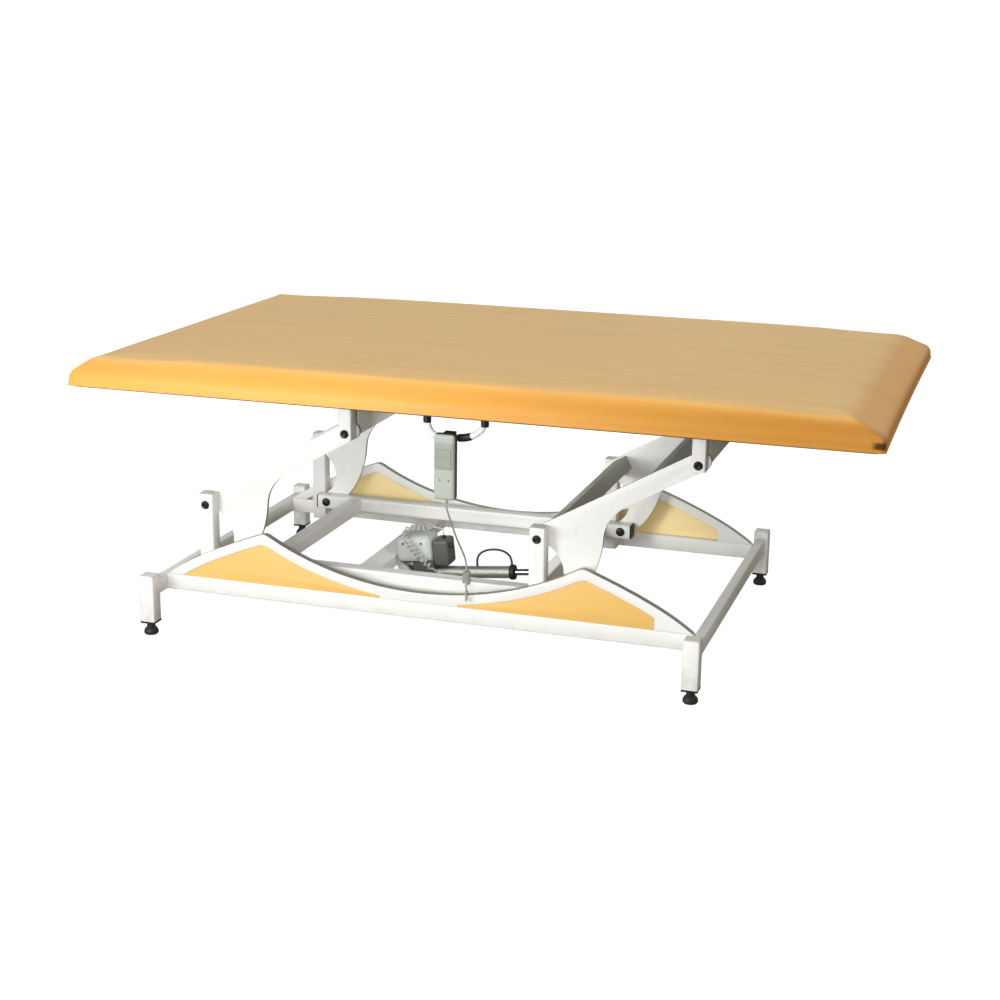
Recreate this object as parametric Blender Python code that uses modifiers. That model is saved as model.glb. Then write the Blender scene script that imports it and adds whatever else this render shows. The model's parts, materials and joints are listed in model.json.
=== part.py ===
"""A wide therapy table: a padded top on a lift of parallel arms, driven by one linear actuator.

Metres, +Z up. The origin is on the floor under the middle of the padded top. +X runs along the
length, to the right when the handset side faces the viewer, and -Y is the handset side.
"""

import math

import bmesh
import bpy
from mathutils import Vector

# Fits: touching faces, turning pins and plates that pass each other
FIT_GAP = 0.0003
PIN_CLEARANCE = 0.0005
RUN_GAP = 0.0006

# Padded top
TOP_LENGTH = 2.000
TOP_WIDTH = 1.200
TOP_CORNER_RADIUS = 0.014
SIDE_WAIST = 0.003
BOARD_THICKNESS = 0.016
BOARD_REVEAL = 0.003
SKIRT_THICKNESS = 0.005
LIP_HEIGHT = 0.034
PAD_HEIGHT = 0.070
SLOPE_RUN_LEFT = 0.045
SLOPE_RUN_RIGHT = 0.078
SLOPE_RUN_SIDES = 0.045
PAD_CROWN = 0.016
CROWN_AT_SIDES = 0.65

# Base frame: the middle of the base stands a little left of the middle of the top
BASE_SHIFT = -0.140
LEG_SIZE = 0.040
LEG_SPAN_X = 1.438
LEG_SPAN_Y = 0.968
LEG_BOTTOM = 0.038
LEG_TOP = 0.159
LEG_SOLE = 0.006
TUBE_WALL = 0.0025
TUBE_CORNER = 0.003
RAIL_BOTTOM = 0.102
END_RAIL_WIDTH = 0.025
END_RAIL_HEIGHT = 0.040
FRAME_OUTER_Y = 0.410
FRAME_DEPTH = 0.022
SIDE_RAIL_HEIGHT = 0.042
BAND_THICKNESS = 0.025
BAND_PEAK_SHARE = 0.5897
BAND_PEAK_RISE = 0.137
BAND_END_INSET = 0.015
PANEL_THICKNESS = 0.004
PANEL_SETBACK = 0.0015
PANEL_CUT_SHARE = 0.8442
PANEL_TIP_X = 0.105

# Levelling feet
FOOT_PAD_RADIUS = 0.019
FOOT_PAD_HEIGHT = 0.030
FOOT_STEM_RADIUS = 0.006
FOOT_STEM_LENGTH = 0.060
FOOT_BORE_RADIUS = FOOT_STEM_RADIUS + PIN_CLEARANCE

# Lift arms and their pivots
PIVOT_HEIGHT = 0.336
LEFT_POST_INSET = 0.119
RIGHT_POST_INSET = 0.418
POST_SIZE = 0.040
POST_ABOVE_PIVOT = 0.029
ARM_LENGTH = 0.452
ARM_ANGLE = math.radians(29.5)
ARM_HALF_WIDTH = 0.024
ARM_THICKNESS = 0.010
WEB_REACH = 0.158
WEB_END = 0.235
LEVER_REACH = 0.045
LEVER_DROP = 0.166
LEVER_END_RADIUS = 0.025
LEVER_PIN_RADIUS = 0.008
LEVER_PIN_PROUD = 0.005
BOLT_RADIUS = 0.0065
BOLT_HEAD_RADIUS = 0.011
BOLT_HEAD_HEIGHT = 0.007
BOLT_NUT_RADIUS = 0.009
BOLT_NUT_HEIGHT = 0.006
BOLT_END_REACH = 0.012
CROSS_TUBE_SIZE = 0.040
LOWER_TUBE_ALONG = 0.042
UPPER_TUBE_ALONG = 0.340
UPPER_TUBE_RAISE = 0.004

# Tie frame between the four lever ends
TIE_SIZE = 0.040
TIE_OVERHANG = 0.027
TIE_CROSS_WIDTH = 0.035
TIE_LEFT_CROSS_INSET = 0.095
TIE_RIGHT_CROSS_INSET = 0.078
PIN_SLOT_RUN = 0.0046
PIN_SLOT_DROP = 0.0158
PIN_SLOT_CLEARANCE = 0.0015

# Hangers and cross-beams under the top
HANGER_WIDTH = 0.034
HANGER_BELOW_PIVOT = 0.0165
PIVOT_TO_BOARD = 0.1131
BEAM_BELOW_PIVOT = 0.0125
BEAM_WALL = 0.003

# Actuator: rear pin on the base beam, front pin in the tie frame's lugs
ACTUATOR_SPAN = 0.448
ACTUATOR_RISE = 0.048
FRONT_PIN_DROP = 0.039
CLEVIS_PIN_RADIUS = 0.006
LUG_THICKNESS = 0.006
LUG_RADIUS = 0.016
EYE_WIDTH = 0.024
BEAM_BEHIND_PIN = 0.0575
BEAM_WIDTH = 0.060
BEAM_ABOVE_PIN = 0.055
BEAM_HEIGHT = 0.034
GEAR_START = 0.024
GEAR_END = 0.086
GEAR_BELOW = 0.032
GEAR_ABOVE = 0.046
GEAR_WIDTH = 0.062
MOTOR_START = -0.018
MOTOR_HEIGHT = 0.066
MOTOR_SEAT = 0.012
MOTOR_WIDTH = 0.084
CAP_LENGTH = 0.046
CAP_BOTTOM = 0.024
CAP_HEIGHT = 0.074
CAP_WIDTH = 0.066
TUBE_RADIUS = 0.017
TUBE_BORE_RADIUS = 0.0115
TUBE_END = 0.309
TUBE_BORE_DEPTH = 0.205
COLLAR_RADIUS = 0.0185
COLLAR_LENGTH = 0.012
ROD_RADIUS = 0.009
ROD_LENGTH = 0.250
LEAD_DIAMETER = 0.006
LEAD_SPAN = 0.100
LEAD_RISE = 0.046

# Handset, its hanging loop and its cord
LOOP_INSET = 0.060
LOOP_RADIUS = 0.008
LOOP_DROP = 0.058
LOOP_STRAIGHT = 0.010
LOOP_LEFT_X = -0.070
LOOP_RIGHT_X = 0.074
LOOP_FLAT_LEFT = -0.034
LOOP_FLAT_RIGHT = 0.006
HANDSET_X = -0.014
HANDSET_WIDTH = 0.052
HANDSET_HEIGHT = 0.160
HANDSET_DEPTH = 0.028
HANDSET_BEHIND = 0.004
HOOK_WIDTH = 0.026
HOOK_THICKNESS = 0.004
HOOK_LIP = 0.018
HOOK_PLAY = 0.002
HOOK_BELOW_TOP = 0.002
BUTTON_WIDTH = 0.036
BUTTON_HEIGHT = 0.022
BUTTON_PROUD = 0.0012
BUTTON_TRAVEL = 0.0015
BUTTON_POCKET = 0.0045
BUTTON_FROM_TOP = 0.046
BUTTON_PITCH = 0.027
CORD_DIAMETER = 0.0045
CORD_EXIT_X = 0.003
CURL_RADIUS = 0.0060
CURL_PITCH = 0.0058
CURL_X = -0.006
CURL_STANDOFF = 0.021
CURL_TOP_Z = 0.262
CURL_BOTTOM_Z = 0.203
HEAP_CURL_RADIUS = 0.0075
HEAP_PITCH = 0.0135
POINTS_PER_CURL = 9

# Values that follow from the sizes above
ARM_X = ARM_LENGTH * math.cos(ARM_ANGLE)
ARM_Z = ARM_LENGTH * math.sin(ARM_ANGLE)
RAIL_TOP = RAIL_BOTTOM + SIDE_RAIL_HEIGHT
FRAME_INNER_Y = FRAME_OUTER_Y - FRAME_DEPTH
LEFT_PIVOT_X = LEFT_POST_INSET - LEG_SPAN_X / 2
RIGHT_PIVOT_X = LEG_SPAN_X / 2 - RIGHT_POST_INSET
TIE_LEFT_CROSS_X = LEFT_PIVOT_X + LEVER_REACH + TIE_LEFT_CROSS_INSET
TIE_RIGHT_CROSS_X = RIGHT_PIVOT_X + LEVER_REACH - TIE_RIGHT_CROSS_INSET
FRONT_PIN_Z = PIVOT_HEIGHT - LEVER_DROP - FRONT_PIN_DROP
REAR_PIN_X = TIE_RIGHT_CROSS_X - ACTUATOR_SPAN
REAR_PIN_Z = FRONT_PIN_Z - ACTUATOR_RISE
BEAM_X = REAR_PIN_X - BEAM_BEHIND_PIN
BEAM_TOP = REAR_PIN_Z + BEAM_ABOVE_PIN
BAND_END_X = LEG_SPAN_X / 2 - BAND_END_INSET
BAND_PEAK_X = BAND_PEAK_SHARE * LEG_SPAN_X / 2
PANEL_CUT_X = PANEL_CUT_SHARE * LEG_SPAN_X / 2
END_RAIL_INNER_X = LEG_SPAN_X / 2 - END_RAIL_WIDTH / 2
POST_Y = FRAME_INNER_Y - FIT_GAP - POST_SIZE / 2
ARM_Y = POST_Y - POST_SIZE / 2 - RUN_GAP - ARM_THICKNESS / 2
ARM_INNER_Y = ARM_Y - ARM_THICKNESS / 2
TIE_Y = ARM_INNER_Y - RUN_GAP - TIE_SIZE / 2
TIE_INNER_Y = TIE_Y - TIE_SIZE / 2
BEAM_HALF_Y = ARM_INNER_Y - RUN_GAP
BOARD_UNDERSIDE = PIVOT_HEIGHT + ARM_Z + PIVOT_TO_BOARD
TOP_PIVOT_X = BASE_SHIFT + RIGHT_PIVOT_X + ARM_X
LOOP_Y = LOOP_INSET - TOP_WIDTH / 2
LOOP_BOTTOM = BOARD_UNDERSIDE - LOOP_DROP
HOOK_REST_Z = LOOP_BOTTOM + LOOP_RADIUS + FIT_GAP
HANDSET_TOP = HOOK_REST_Z + HOOK_THICKNESS + HOOK_BELOW_TOP
HANDSET_BACK_Y = LOOP_Y - LOOP_RADIUS - HANDSET_BEHIND
HANDSET_Y = HANDSET_BACK_Y - HANDSET_DEPTH / 2
HANDSET_BOTTOM = HANDSET_TOP - HANDSET_HEIGHT
CURL_Y = -FRAME_OUTER_Y - CURL_STANDOFF
ACTUATOR_LENGTH = math.hypot(ACTUATOR_SPAN, ACTUATOR_RISE)
ACTUATOR_TILT = math.atan2(ACTUATOR_RISE, ACTUATOR_SPAN)
LUG_Y = EYE_WIDTH / 2 + FIT_GAP * 2 + LUG_THICKNESS / 2

ENDS = (("left", -1), ("right", 1))
SIDES = (("front", -1), ("rear", 1))
UPRIGHT = (math.pi / 2, 0.0, 0.0)
ALONG_X = (0.0, math.pi / 2, 0.0)


def clear():
    """Remove every object and collection that the file opened with."""
    for obj in list(bpy.data.objects):
        bpy.data.objects.remove(obj, do_unlink=True)
    for group in list(bpy.data.collections):
        bpy.data.collections.remove(group)


clear()
PARTS = bpy.data.collections.new("bobath_table")
CUTTERS = bpy.data.collections.new("cutters")
bpy.context.scene.collection.children.link(PARTS)
bpy.context.scene.collection.children.link(CUTTERS)


def finish(name, colour, roughness, metallic=0.0):
    """One Principled finish."""
    mat = bpy.data.materials.new(name)
    mat.use_nodes = True
    shader = mat.node_tree.nodes["Principled BSDF"]
    shader.inputs["Base Color"].default_value = (*colour, 1.0)
    shader.inputs["Roughness"].default_value = roughness
    shader.inputs["Metallic"].default_value = metallic
    return mat


def add(name, data, mat=None, parent=None, location=(0, 0, 0), rotation=(0, 0, 0), group=None):
    """Place a mesh or curve as a named object."""
    obj = bpy.data.objects.new(name, data)
    (group or PARTS).objects.link(obj)
    obj.parent = parent
    obj.location = location
    obj.rotation_euler = rotation
    if mat:
        data.materials.append(mat)
    if group is CUTTERS:
        obj.hide_render = True
        obj.display_type = "WIRE"
    return obj


def pivot(name, location, parent=None, rotation=(0, 0, 0)):
    """An empty on a joint's axis."""
    return add(name, None, None, parent, location, rotation)


def mesh_of(name, bm):
    """A mesh with outward normals from a bmesh."""
    bmesh.ops.recalc_face_normals(bm, faces=bm.faces)
    mesh = bpy.data.meshes.new(name)
    bm.to_mesh(mesh)
    bm.free()
    return mesh


def arc(centre, radius, start, end, steps):
    """Points on an arc, angles in degrees."""
    points = []
    for i in range(steps + 1):
        a = math.radians(start + (end - start) * i / steps)
        points.append((centre[0] + radius * math.cos(a), centre[1] + radius * math.sin(a)))
    return points


def cubic(p0, p1, p2, p3, steps):
    """Points on a cubic curve, without its first point."""
    points = []
    for i in range(1, steps + 1):
        t = i / steps
        k = ((1 - t) ** 3, 3 * t * (1 - t) ** 2, 3 * t * t * (1 - t), t**3)
        points.append(tuple(sum(w * p[j] for w, p in zip(k, (p0, p1, p2, p3))) for j in (0, 1)))
    return points


def rounded(width, height, radius, steps=2, centre=(0.0, 0.0)):
    """A rectangle outline with round corners."""
    x = width / 2 - radius
    y = height / 2 - radius
    points = []
    for sx, sy, start in ((1, -1, -90), (1, 1, 0), (-1, 1, 90), (-1, -1, 180)):
        points += arc((centre[0] + sx * x, centre[1] + sy * y), radius, start, start + 90, steps)
    return points


def box_outline(width, height):
    """A plain rectangle outline."""
    x = width / 2
    y = height / 2
    return [(-x, -y), (x, -y), (x, y), (-x, y)]


def plate_mesh(name, outlines, thickness):
    """A flat solid: the first outline is its edge and the others are its openings."""
    curve = bpy.data.curves.new(name, "CURVE")
    curve.dimensions = "2D"
    curve.fill_mode = "BOTH"
    curve.extrude = thickness / 2
    for outline in outlines:
        spline = curve.splines.new("POLY")
        spline.points.add(len(outline) - 1)
        for point, (x, y) in zip(spline.points, outline):
            point.co = (x, y, 0.0, 1.0)
        spline.use_cyclic_u = True
    temp = bpy.data.objects.new(name, curve)
    CUTTERS.objects.link(temp)
    depsgraph = bpy.context.evaluated_depsgraph_get()
    mesh = bpy.data.meshes.new_from_object(temp.evaluated_get(depsgraph))
    bpy.data.objects.remove(temp, do_unlink=True)
    bpy.data.curves.remove(curve)
    bm = bmesh.new()
    bm.from_mesh(mesh)
    bmesh.ops.remove_doubles(bm, verts=bm.verts, dist=1e-6)
    bpy.data.meshes.remove(mesh)
    return mesh_of(name, bm)


def plate(name, outlines, thickness, *place, **options):
    """A flat solid as a piece."""
    return add(name, plate_mesh(name, outlines, thickness), *place, **options)


def tube(name, width, height, length, wall, *place, **options):
    """An open rectangular tube along its own Z."""
    outlines = [
        rounded(width, height, TUBE_CORNER),
        box_outline(width - 2 * wall, height - 2 * wall),
    ]
    return plate(name, outlines, length, *place, **options)


def block_mesh(name, size, bevel=0.0, segments=2, centre=(0, 0, 0)):
    """A box with rounded edges."""
    bm = bmesh.new()
    bmesh.ops.create_cube(bm, size=1.0)
    bmesh.ops.scale(bm, vec=size, verts=bm.verts)
    bmesh.ops.translate(bm, vec=centre, verts=bm.verts)
    if bevel:
        bmesh.ops.bevel(
            bm, geom=bm.edges[:], offset=bevel, segments=segments, profile=0.5,
            affect="EDGES", material=-1,
        )
    return mesh_of(name, bm)


def capped_post_mesh(name, size, length):
    """A square tube along Z, closed at its top end, with its foot at z = 0."""
    bm = bmesh.new()
    bmesh.ops.create_cube(bm, size=1.0)
    bmesh.ops.scale(bm, vec=(size, size, length), verts=bm.verts)
    bmesh.ops.translate(bm, vec=(0, 0, length / 2), verts=bm.verts)
    upright = [e for e in bm.edges if abs(e.verts[0].co.z - e.verts[1].co.z) > length / 2]
    bmesh.ops.bevel(
        bm, geom=upright, offset=TUBE_CORNER, segments=2, profile=0.5, affect="EDGES", material=-1
    )
    foot = min(bm.faces, key=lambda f: f.calc_center_median().z)
    bmesh.ops.inset_individual(bm, faces=[foot], thickness=TUBE_WALL, use_even_offset=True)
    top = bmesh.ops.extrude_discrete_faces(bm, faces=[foot])["faces"][0]
    bmesh.ops.translate(bm, vec=(0, 0, length - TUBE_WALL), verts=top.verts)
    return mesh_of(name, bm)


def turned(name, profile, steps, *place, **options):
    """A turned solid about its own Z; the profile runs from the top to the bottom."""
    mesh = bpy.data.meshes.new(name)
    mesh.from_pydata([(r, 0.0, z) for r, z in profile], [(i, i + 1) for i in range(len(profile) - 1)], [])
    obj = add(name, mesh, *place, **options)
    screw = obj.modifiers.new("turn", "SCREW")
    screw.steps = steps
    screw.render_steps = steps
    screw.use_merge_vertices = True
    screw.merge_threshold = 0.00005
    return obj


def rod_mesh(name, radius, length, steps=24):
    """A plain cylinder along Z."""
    bm = bmesh.new()
    bmesh.ops.create_cone(
        bm, cap_ends=True, segments=steps, radius1=radius, radius2=radius, depth=length
    )
    return mesh_of(name, bm)


def combine(target, tool, operation):
    """Join a tool shape to a piece or take it away."""
    boolean = target.modifiers.new(operation.lower(), "BOOLEAN")
    boolean.operation = operation
    boolean.solver = "EXACT"
    boolean.object = tool


def drill(target, radius, length, parent, location, rotation=UPRIGHT):
    """A round hole."""
    name = target.name + "_hole"
    tool = add(name, rod_mesh(name, radius, length), None, parent, location, rotation, CUTTERS)
    combine(target, tool, "DIFFERENCE")


def grow(target, mesh, parent, location, rotation=(0, 0, 0)):
    """A welded-on shape."""
    tool = add(target.name + "_weld", mesh, None, parent, location, rotation, CUTTERS)
    combine(target, tool, "UNION")


def wire(name, points, diameter, resolution, mat, parent):
    """A round wire through a run of points."""
    curve = bpy.data.curves.new(name, "CURVE")
    curve.dimensions = "3D"
    curve.bevel_depth = diameter / 2
    curve.bevel_resolution = resolution
    curve.use_fill_caps = True
    spline = curve.splines.new("POLY")
    spline.points.add(len(points) - 1)
    for point, co in zip(spline.points, points):
        point.co = (*co, 1.0)
    return add(name, curve, mat, parent)


WHITE = finish("white_paint", (0.80, 0.80, 0.77), 0.35)
VINYL = finish("vinyl_cover", (0.80, 0.47, 0.15), 0.42)
YELLOW = finish("yellow_panel", (0.93, 0.64, 0.21), 0.38)
BOARD = finish("board", (0.055, 0.040, 0.030), 0.70)
BLACK = finish("black_hardware", (0.015, 0.015, 0.016), 0.45)
BLACK_PLASTIC = finish("black_plastic", (0.020, 0.021, 0.022), 0.50)
GREY = finish("grey_plastic", (0.33, 0.35, 0.29), 0.48)
HANDSET = finish("handset_plastic", (0.44, 0.46, 0.39), 0.50)
BUTTON = finish("button_plastic", (0.27, 0.29, 0.25), 0.55)
ALLOY = finish("tube_alloy", (0.62, 0.64, 0.62), 0.38, 0.9)
STEEL = finish("rod_steel", (0.72, 0.73, 0.73), 0.18, 1.0)
CORD = finish("cord_cover", (0.40, 0.41, 0.37), 0.50)
LEAD = finish("lead_cover", (0.030, 0.030, 0.032), 0.50)

BASE = pivot("base_centre", (BASE_SHIFT, 0, 0))


# Base: legs with feet, end rails, side rails
def build_base():
    for end, sx in ENDS:
        rail_x = sx * LEG_SPAN_X / 2
        for side, sy in SIDES:
            at = (rail_x, sy * LEG_SPAN_Y / 2)
            length = LEG_TOP - LEG_BOTTOM
            name = f"leg_{side}_{end}"
            leg = add(
                name,
                plate_mesh(name, [rounded(LEG_SIZE, LEG_SIZE, TUBE_CORNER)], length),
                WHITE, BASE, (*at, LEG_BOTTOM + length / 2),
            )
            hollow = length - LEG_SOLE - TUBE_WALL
            inner = LEG_SIZE - 2 * TUBE_WALL
            tool = add(
                name + "_hollow",
                block_mesh(name + "_hollow", (inner, inner, hollow)),
                None, BASE, (*at, LEG_BOTTOM + LEG_SOLE + hollow / 2), (0, 0, 0), CUTTERS,
            )
            combine(leg, tool, "DIFFERENCE")
            drill(leg, FOOT_BORE_RADIUS, 4 * LEG_SOLE, BASE, (*at, LEG_BOTTOM), (0, 0, 0))
            axis = pivot(f"foot_axis_{side}_{end}", (*at, 0), BASE)
            stem_top = FOOT_PAD_HEIGHT + FOOT_STEM_LENGTH
            turned(
                f"levelling_foot_{side}_{end}",
                [
                    (0, stem_top),
                    (FOOT_STEM_RADIUS - 0.001, stem_top),
                    (FOOT_STEM_RADIUS, stem_top - 0.001),
                    (FOOT_STEM_RADIUS, FOOT_PAD_HEIGHT),
                    (FOOT_PAD_RADIUS * 0.55, FOOT_PAD_HEIGHT),
                    (FOOT_PAD_RADIUS * 0.58, FOOT_PAD_HEIGHT * 0.68),
                    (FOOT_PAD_RADIUS * 0.86, FOOT_PAD_HEIGHT * 0.50),
                    (FOOT_PAD_RADIUS, FOOT_PAD_HEIGHT * 0.28),
                    (FOOT_PAD_RADIUS, FOOT_PAD_HEIGHT * 0.12),
                    (FOOT_PAD_RADIUS * 0.84, 0),
                    (0, 0),
                ],
                16, BLACK, axis,
            )
        span = LEG_SPAN_Y - LEG_SIZE - 2 * FIT_GAP
        tube(
            f"end_rail_{end}", END_RAIL_WIDTH, END_RAIL_HEIGHT, span, TUBE_WALL,
            WHITE, BASE, (rail_x, 0, RAIL_BOTTOM + END_RAIL_HEIGHT / 2), UPRIGHT,
        )
    for side, sy in SIDES:
        tube(
            f"side_rail_{side}", SIDE_RAIL_HEIGHT, FRAME_DEPTH, 2 * (END_RAIL_INNER_X - FIT_GAP), TUBE_WALL,
            WHITE, BASE,
            (0, sy * (FRAME_OUTER_Y - FRAME_DEPTH / 2), RAIL_BOTTOM + SIDE_RAIL_HEIGHT / 2), ALONG_X,
        )


def band_curves():
    """The band's upper edge from the middle of the base: its rise to the peak and its fall to the end."""
    low = RAIL_TOP + FIT_GAP + BAND_THICKNESS
    peak = (BAND_PEAK_X, RAIL_TOP + BAND_PEAK_RISE)
    rise = peak[1] - low
    drop = peak[1] - RAIL_TOP
    run = BAND_END_X - BAND_PEAK_X
    inner = [(0.0, low)] + cubic(
        (0.0, low), (0.38 * peak[0], low), (0.73 * peak[0], low + 0.39 * rise), peak, 16
    )
    outer = [peak] + cubic(
        peak,
        (peak[0] + 0.27 * run, peak[1] - 0.21 * drop),
        (peak[0] + 0.70 * run, peak[1] - 0.53 * drop),
        (BAND_END_X, RAIL_TOP + FIT_GAP),
        12,
    )
    return inner, outer


def band_upper():
    """The upper edge with its peak rounded."""
    inner, outer = band_curves()
    crest = cubic(inner[-2], inner[-1], outer[0], outer[1], 4)
    return inner[:-1] + crest + outer[2:]


def between(first, last, x):
    """The height at x on the line between two points."""
    return first[1] + (last[1] - first[1]) * (x - first[0]) / (last[0] - first[0])


def band_lower(depth, tip):
    """The edge a depth under the upper one, from the tip of the opening to the rail's top."""
    floor = RAIL_TOP + FIT_GAP
    inner, outer = band_curves()
    line = []
    for curve in (inner, outer):
        for first, last in zip(curve, curve[1:]):
            x = (first[0] + last[0]) / 2
            slope = (last[1] - first[1]) / (last[0] - first[0])
            line.append((x, between(first, last, x) - depth * math.hypot(1, slope)))
    points = [(tip, floor)]
    for first, last in zip(line, line[1:]):
        if first[0] < tip < last[0]:
            points.append((tip, between(first, last, tip)))
        if last[0] > tip and last[1] > floor:
            points.append(last)
        if first[1] > floor >= last[1]:
            share = (first[1] - floor) / (first[1] - last[1])
            points.append((first[0] + share * (last[0] - first[0]), floor))
    return points


def trimmed(edge, limit):
    """The edge up to a cut, ending on the cut and dropping to the rail."""
    points = [p for p in edge if p[0] < limit - 1e-4]
    after = [p for p in edge if p[0] >= limit - 1e-4][0]
    last = points[-1]
    t = (limit - last[0]) / (after[0] - last[0])
    return points + [(limit, last[1] + t * (after[1] - last[1])), (limit, RAIL_TOP + FIT_GAP)]


def build_side_frames():
    half = band_upper()
    under = band_lower(BAND_THICKNESS, PANEL_TIP_X)
    fill = band_lower(BAND_THICKNESS + FIT_GAP, PANEL_TIP_X + FIT_GAP)
    mirror = [(-x, z) for x, z in half[::-1][:-1]]
    right_under = trimmed(under, PANEL_CUT_X + FIT_GAP)
    left_under = [(-x, z) for x, z in under]
    outline = mirror + half + right_under[::-1] + left_under
    panels = {
        "left": [(-x, z) for x, z in fill],
        "right": trimmed(fill, PANEL_CUT_X),
    }
    for side, sy in SIDES:
        middle = sy * (FRAME_OUTER_Y - FRAME_DEPTH / 2)
        plate(f"side_band_{side}", [outline], FRAME_DEPTH, WHITE, BASE, (0, middle, 0), UPRIGHT)
        face = sy * (FRAME_OUTER_Y - PANEL_SETBACK - PANEL_THICKNESS / 2)
        for end, shape in panels.items():
            plate(
                f"infill_panel_{side}_{end}", [shape], PANEL_THICKNESS, YELLOW, BASE,
                (0, face, 0), UPRIGHT,
            )


def bolt(name, grip, parent, location, sy):
    """A through bolt with its nut; the head's seat is at its own z = 0 and faces outward."""
    head = FIT_GAP + BOLT_HEAD_HEIGHT
    seat = -grip - FIT_GAP
    turned(
        name,
        [
            (0, head),
            (BOLT_HEAD_RADIUS * 0.8, head),
            (BOLT_HEAD_RADIUS, head - 0.002),
            (BOLT_HEAD_RADIUS, FIT_GAP),
            (BOLT_RADIUS, FIT_GAP),
            (BOLT_RADIUS, seat),
            (BOLT_NUT_RADIUS, seat),
            (BOLT_NUT_RADIUS, seat - BOLT_NUT_HEIGHT),
            (0, seat - BOLT_NUT_HEIGHT),
        ],
        18, BLACK, parent, location, (-sy * math.pi / 2, 0, 0),
    )


def build_posts():
    for end, x in (("left", LEFT_PIVOT_X), ("right", RIGHT_PIVOT_X)):
        for side, sy in SIDES:
            name = f"post_{side}_{end}"
            length = PIVOT_HEIGHT + POST_ABOVE_PIVOT - RAIL_BOTTOM
            post = add(
                name, capped_post_mesh(name, POST_SIZE, length), WHITE, BASE,
                (x, sy * POST_Y, RAIL_BOTTOM),
            )
            drill(
                post, BOLT_RADIUS + PIN_CLEARANCE, 2 * POST_SIZE, BASE, (x, sy * POST_Y, PIVOT_HEIGHT)
            )
            bolt(
                f"lower_pivot_bolt_{side}_{end}", POST_SIZE + RUN_GAP + ARM_THICKNESS, BASE,
                (x, sy * (POST_Y + POST_SIZE / 2), PIVOT_HEIGHT), sy,
            )


def arm_outline():
    """The bell-crank plate about its lower pivot: a straight arm with a hooked lever below it."""
    angle = math.degrees(ARM_ANGLE)
    along = Vector((math.cos(ARM_ANGLE), math.sin(ARM_ANGLE)))
    across = Vector((-along.y, along.x))
    lever = (LEVER_REACH, -LEVER_DROP)
    points = arc((ARM_X, ARM_Z), ARM_HALF_WIDTH, angle - 90, angle + 90, 10)
    points += arc((0.0, 0.0), ARM_HALF_WIDTH, angle + 90, 300, 10)
    boss = arc(lever, LEVER_END_RADIUS, 150, 350, 12)
    points += cubic(
        points[-1],
        (0.38 * WEB_REACH, -0.27 * LEVER_DROP),
        (0.54 * WEB_REACH, -0.69 * LEVER_DROP),
        boss[0],
        10,
    )
    points += boss[1:]
    web = (WEB_REACH, 0.03 * LEVER_DROP)
    points += cubic(
        points[-1],
        (0.70 * WEB_REACH, -0.93 * LEVER_DROP),
        (0.98 * WEB_REACH, -0.42 * LEVER_DROP),
        web,
        10,
    )
    root = along * WEB_END - across * ARM_HALF_WIDTH
    points += cubic(
        web,
        (WEB_REACH, 0.27 * LEVER_DROP),
        tuple(root - along * 0.22 * WEB_REACH),
        tuple(root),
        8,
    )
    return points


def build_arm(name, parent, sy):
    """One lift arm with the pin that carries the tie frame."""
    hole = BOLT_RADIUS + PIN_CLEARANCE
    holes = [arc((0, 0), hole, 0, 345, 23), arc((ARM_X, ARM_Z), hole, 0, 345, 23)]
    arm = plate(name, [arm_outline()] + holes, ARM_THICKNESS, WHITE, parent, (0, sy * ARM_Y, 0), UPRIGHT)
    inner = TIE_INNER_Y - LEVER_PIN_PROUD
    length = ARM_Y - inner
    pin = rod_mesh(name + "_pin", LEVER_PIN_RADIUS, length)
    grow(arm, pin, parent, (LEVER_REACH, sy * (inner + length / 2), -LEVER_DROP), UPRIGHT)


def build_arms():
    for side, sy in SIDES:
        axis = pivot(f"left_arm_axis_{side}", (LEFT_PIVOT_X, 0, PIVOT_HEIGHT), BASE)
        build_arm(f"lift_arm_{side}_left", axis, sy)
    axis = pivot("right_arm_axis", (RIGHT_PIVOT_X, 0, PIVOT_HEIGHT), BASE)
    for side, sy in SIDES:
        build_arm(f"lift_arm_{side}_right", axis, sy)
    along = Vector((math.cos(ARM_ANGLE), math.sin(ARM_ANGLE)))
    across = Vector((-along.y, along.x))
    turn = (math.pi / 2, -ARM_ANGLE, 0)
    for name, place in (
        ("arm_cross_tube_lower", along * LOWER_TUBE_ALONG),
        ("arm_cross_tube_upper", along * UPPER_TUBE_ALONG + across * UPPER_TUBE_RAISE),
    ):
        tube(
            name, CROSS_TUBE_SIZE, CROSS_TUBE_SIZE, 2 * (ARM_INNER_Y - FIT_GAP), TUBE_WALL,
            WHITE, axis, (place.x, 0, place.y), turn,
        )
    return axis


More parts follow.
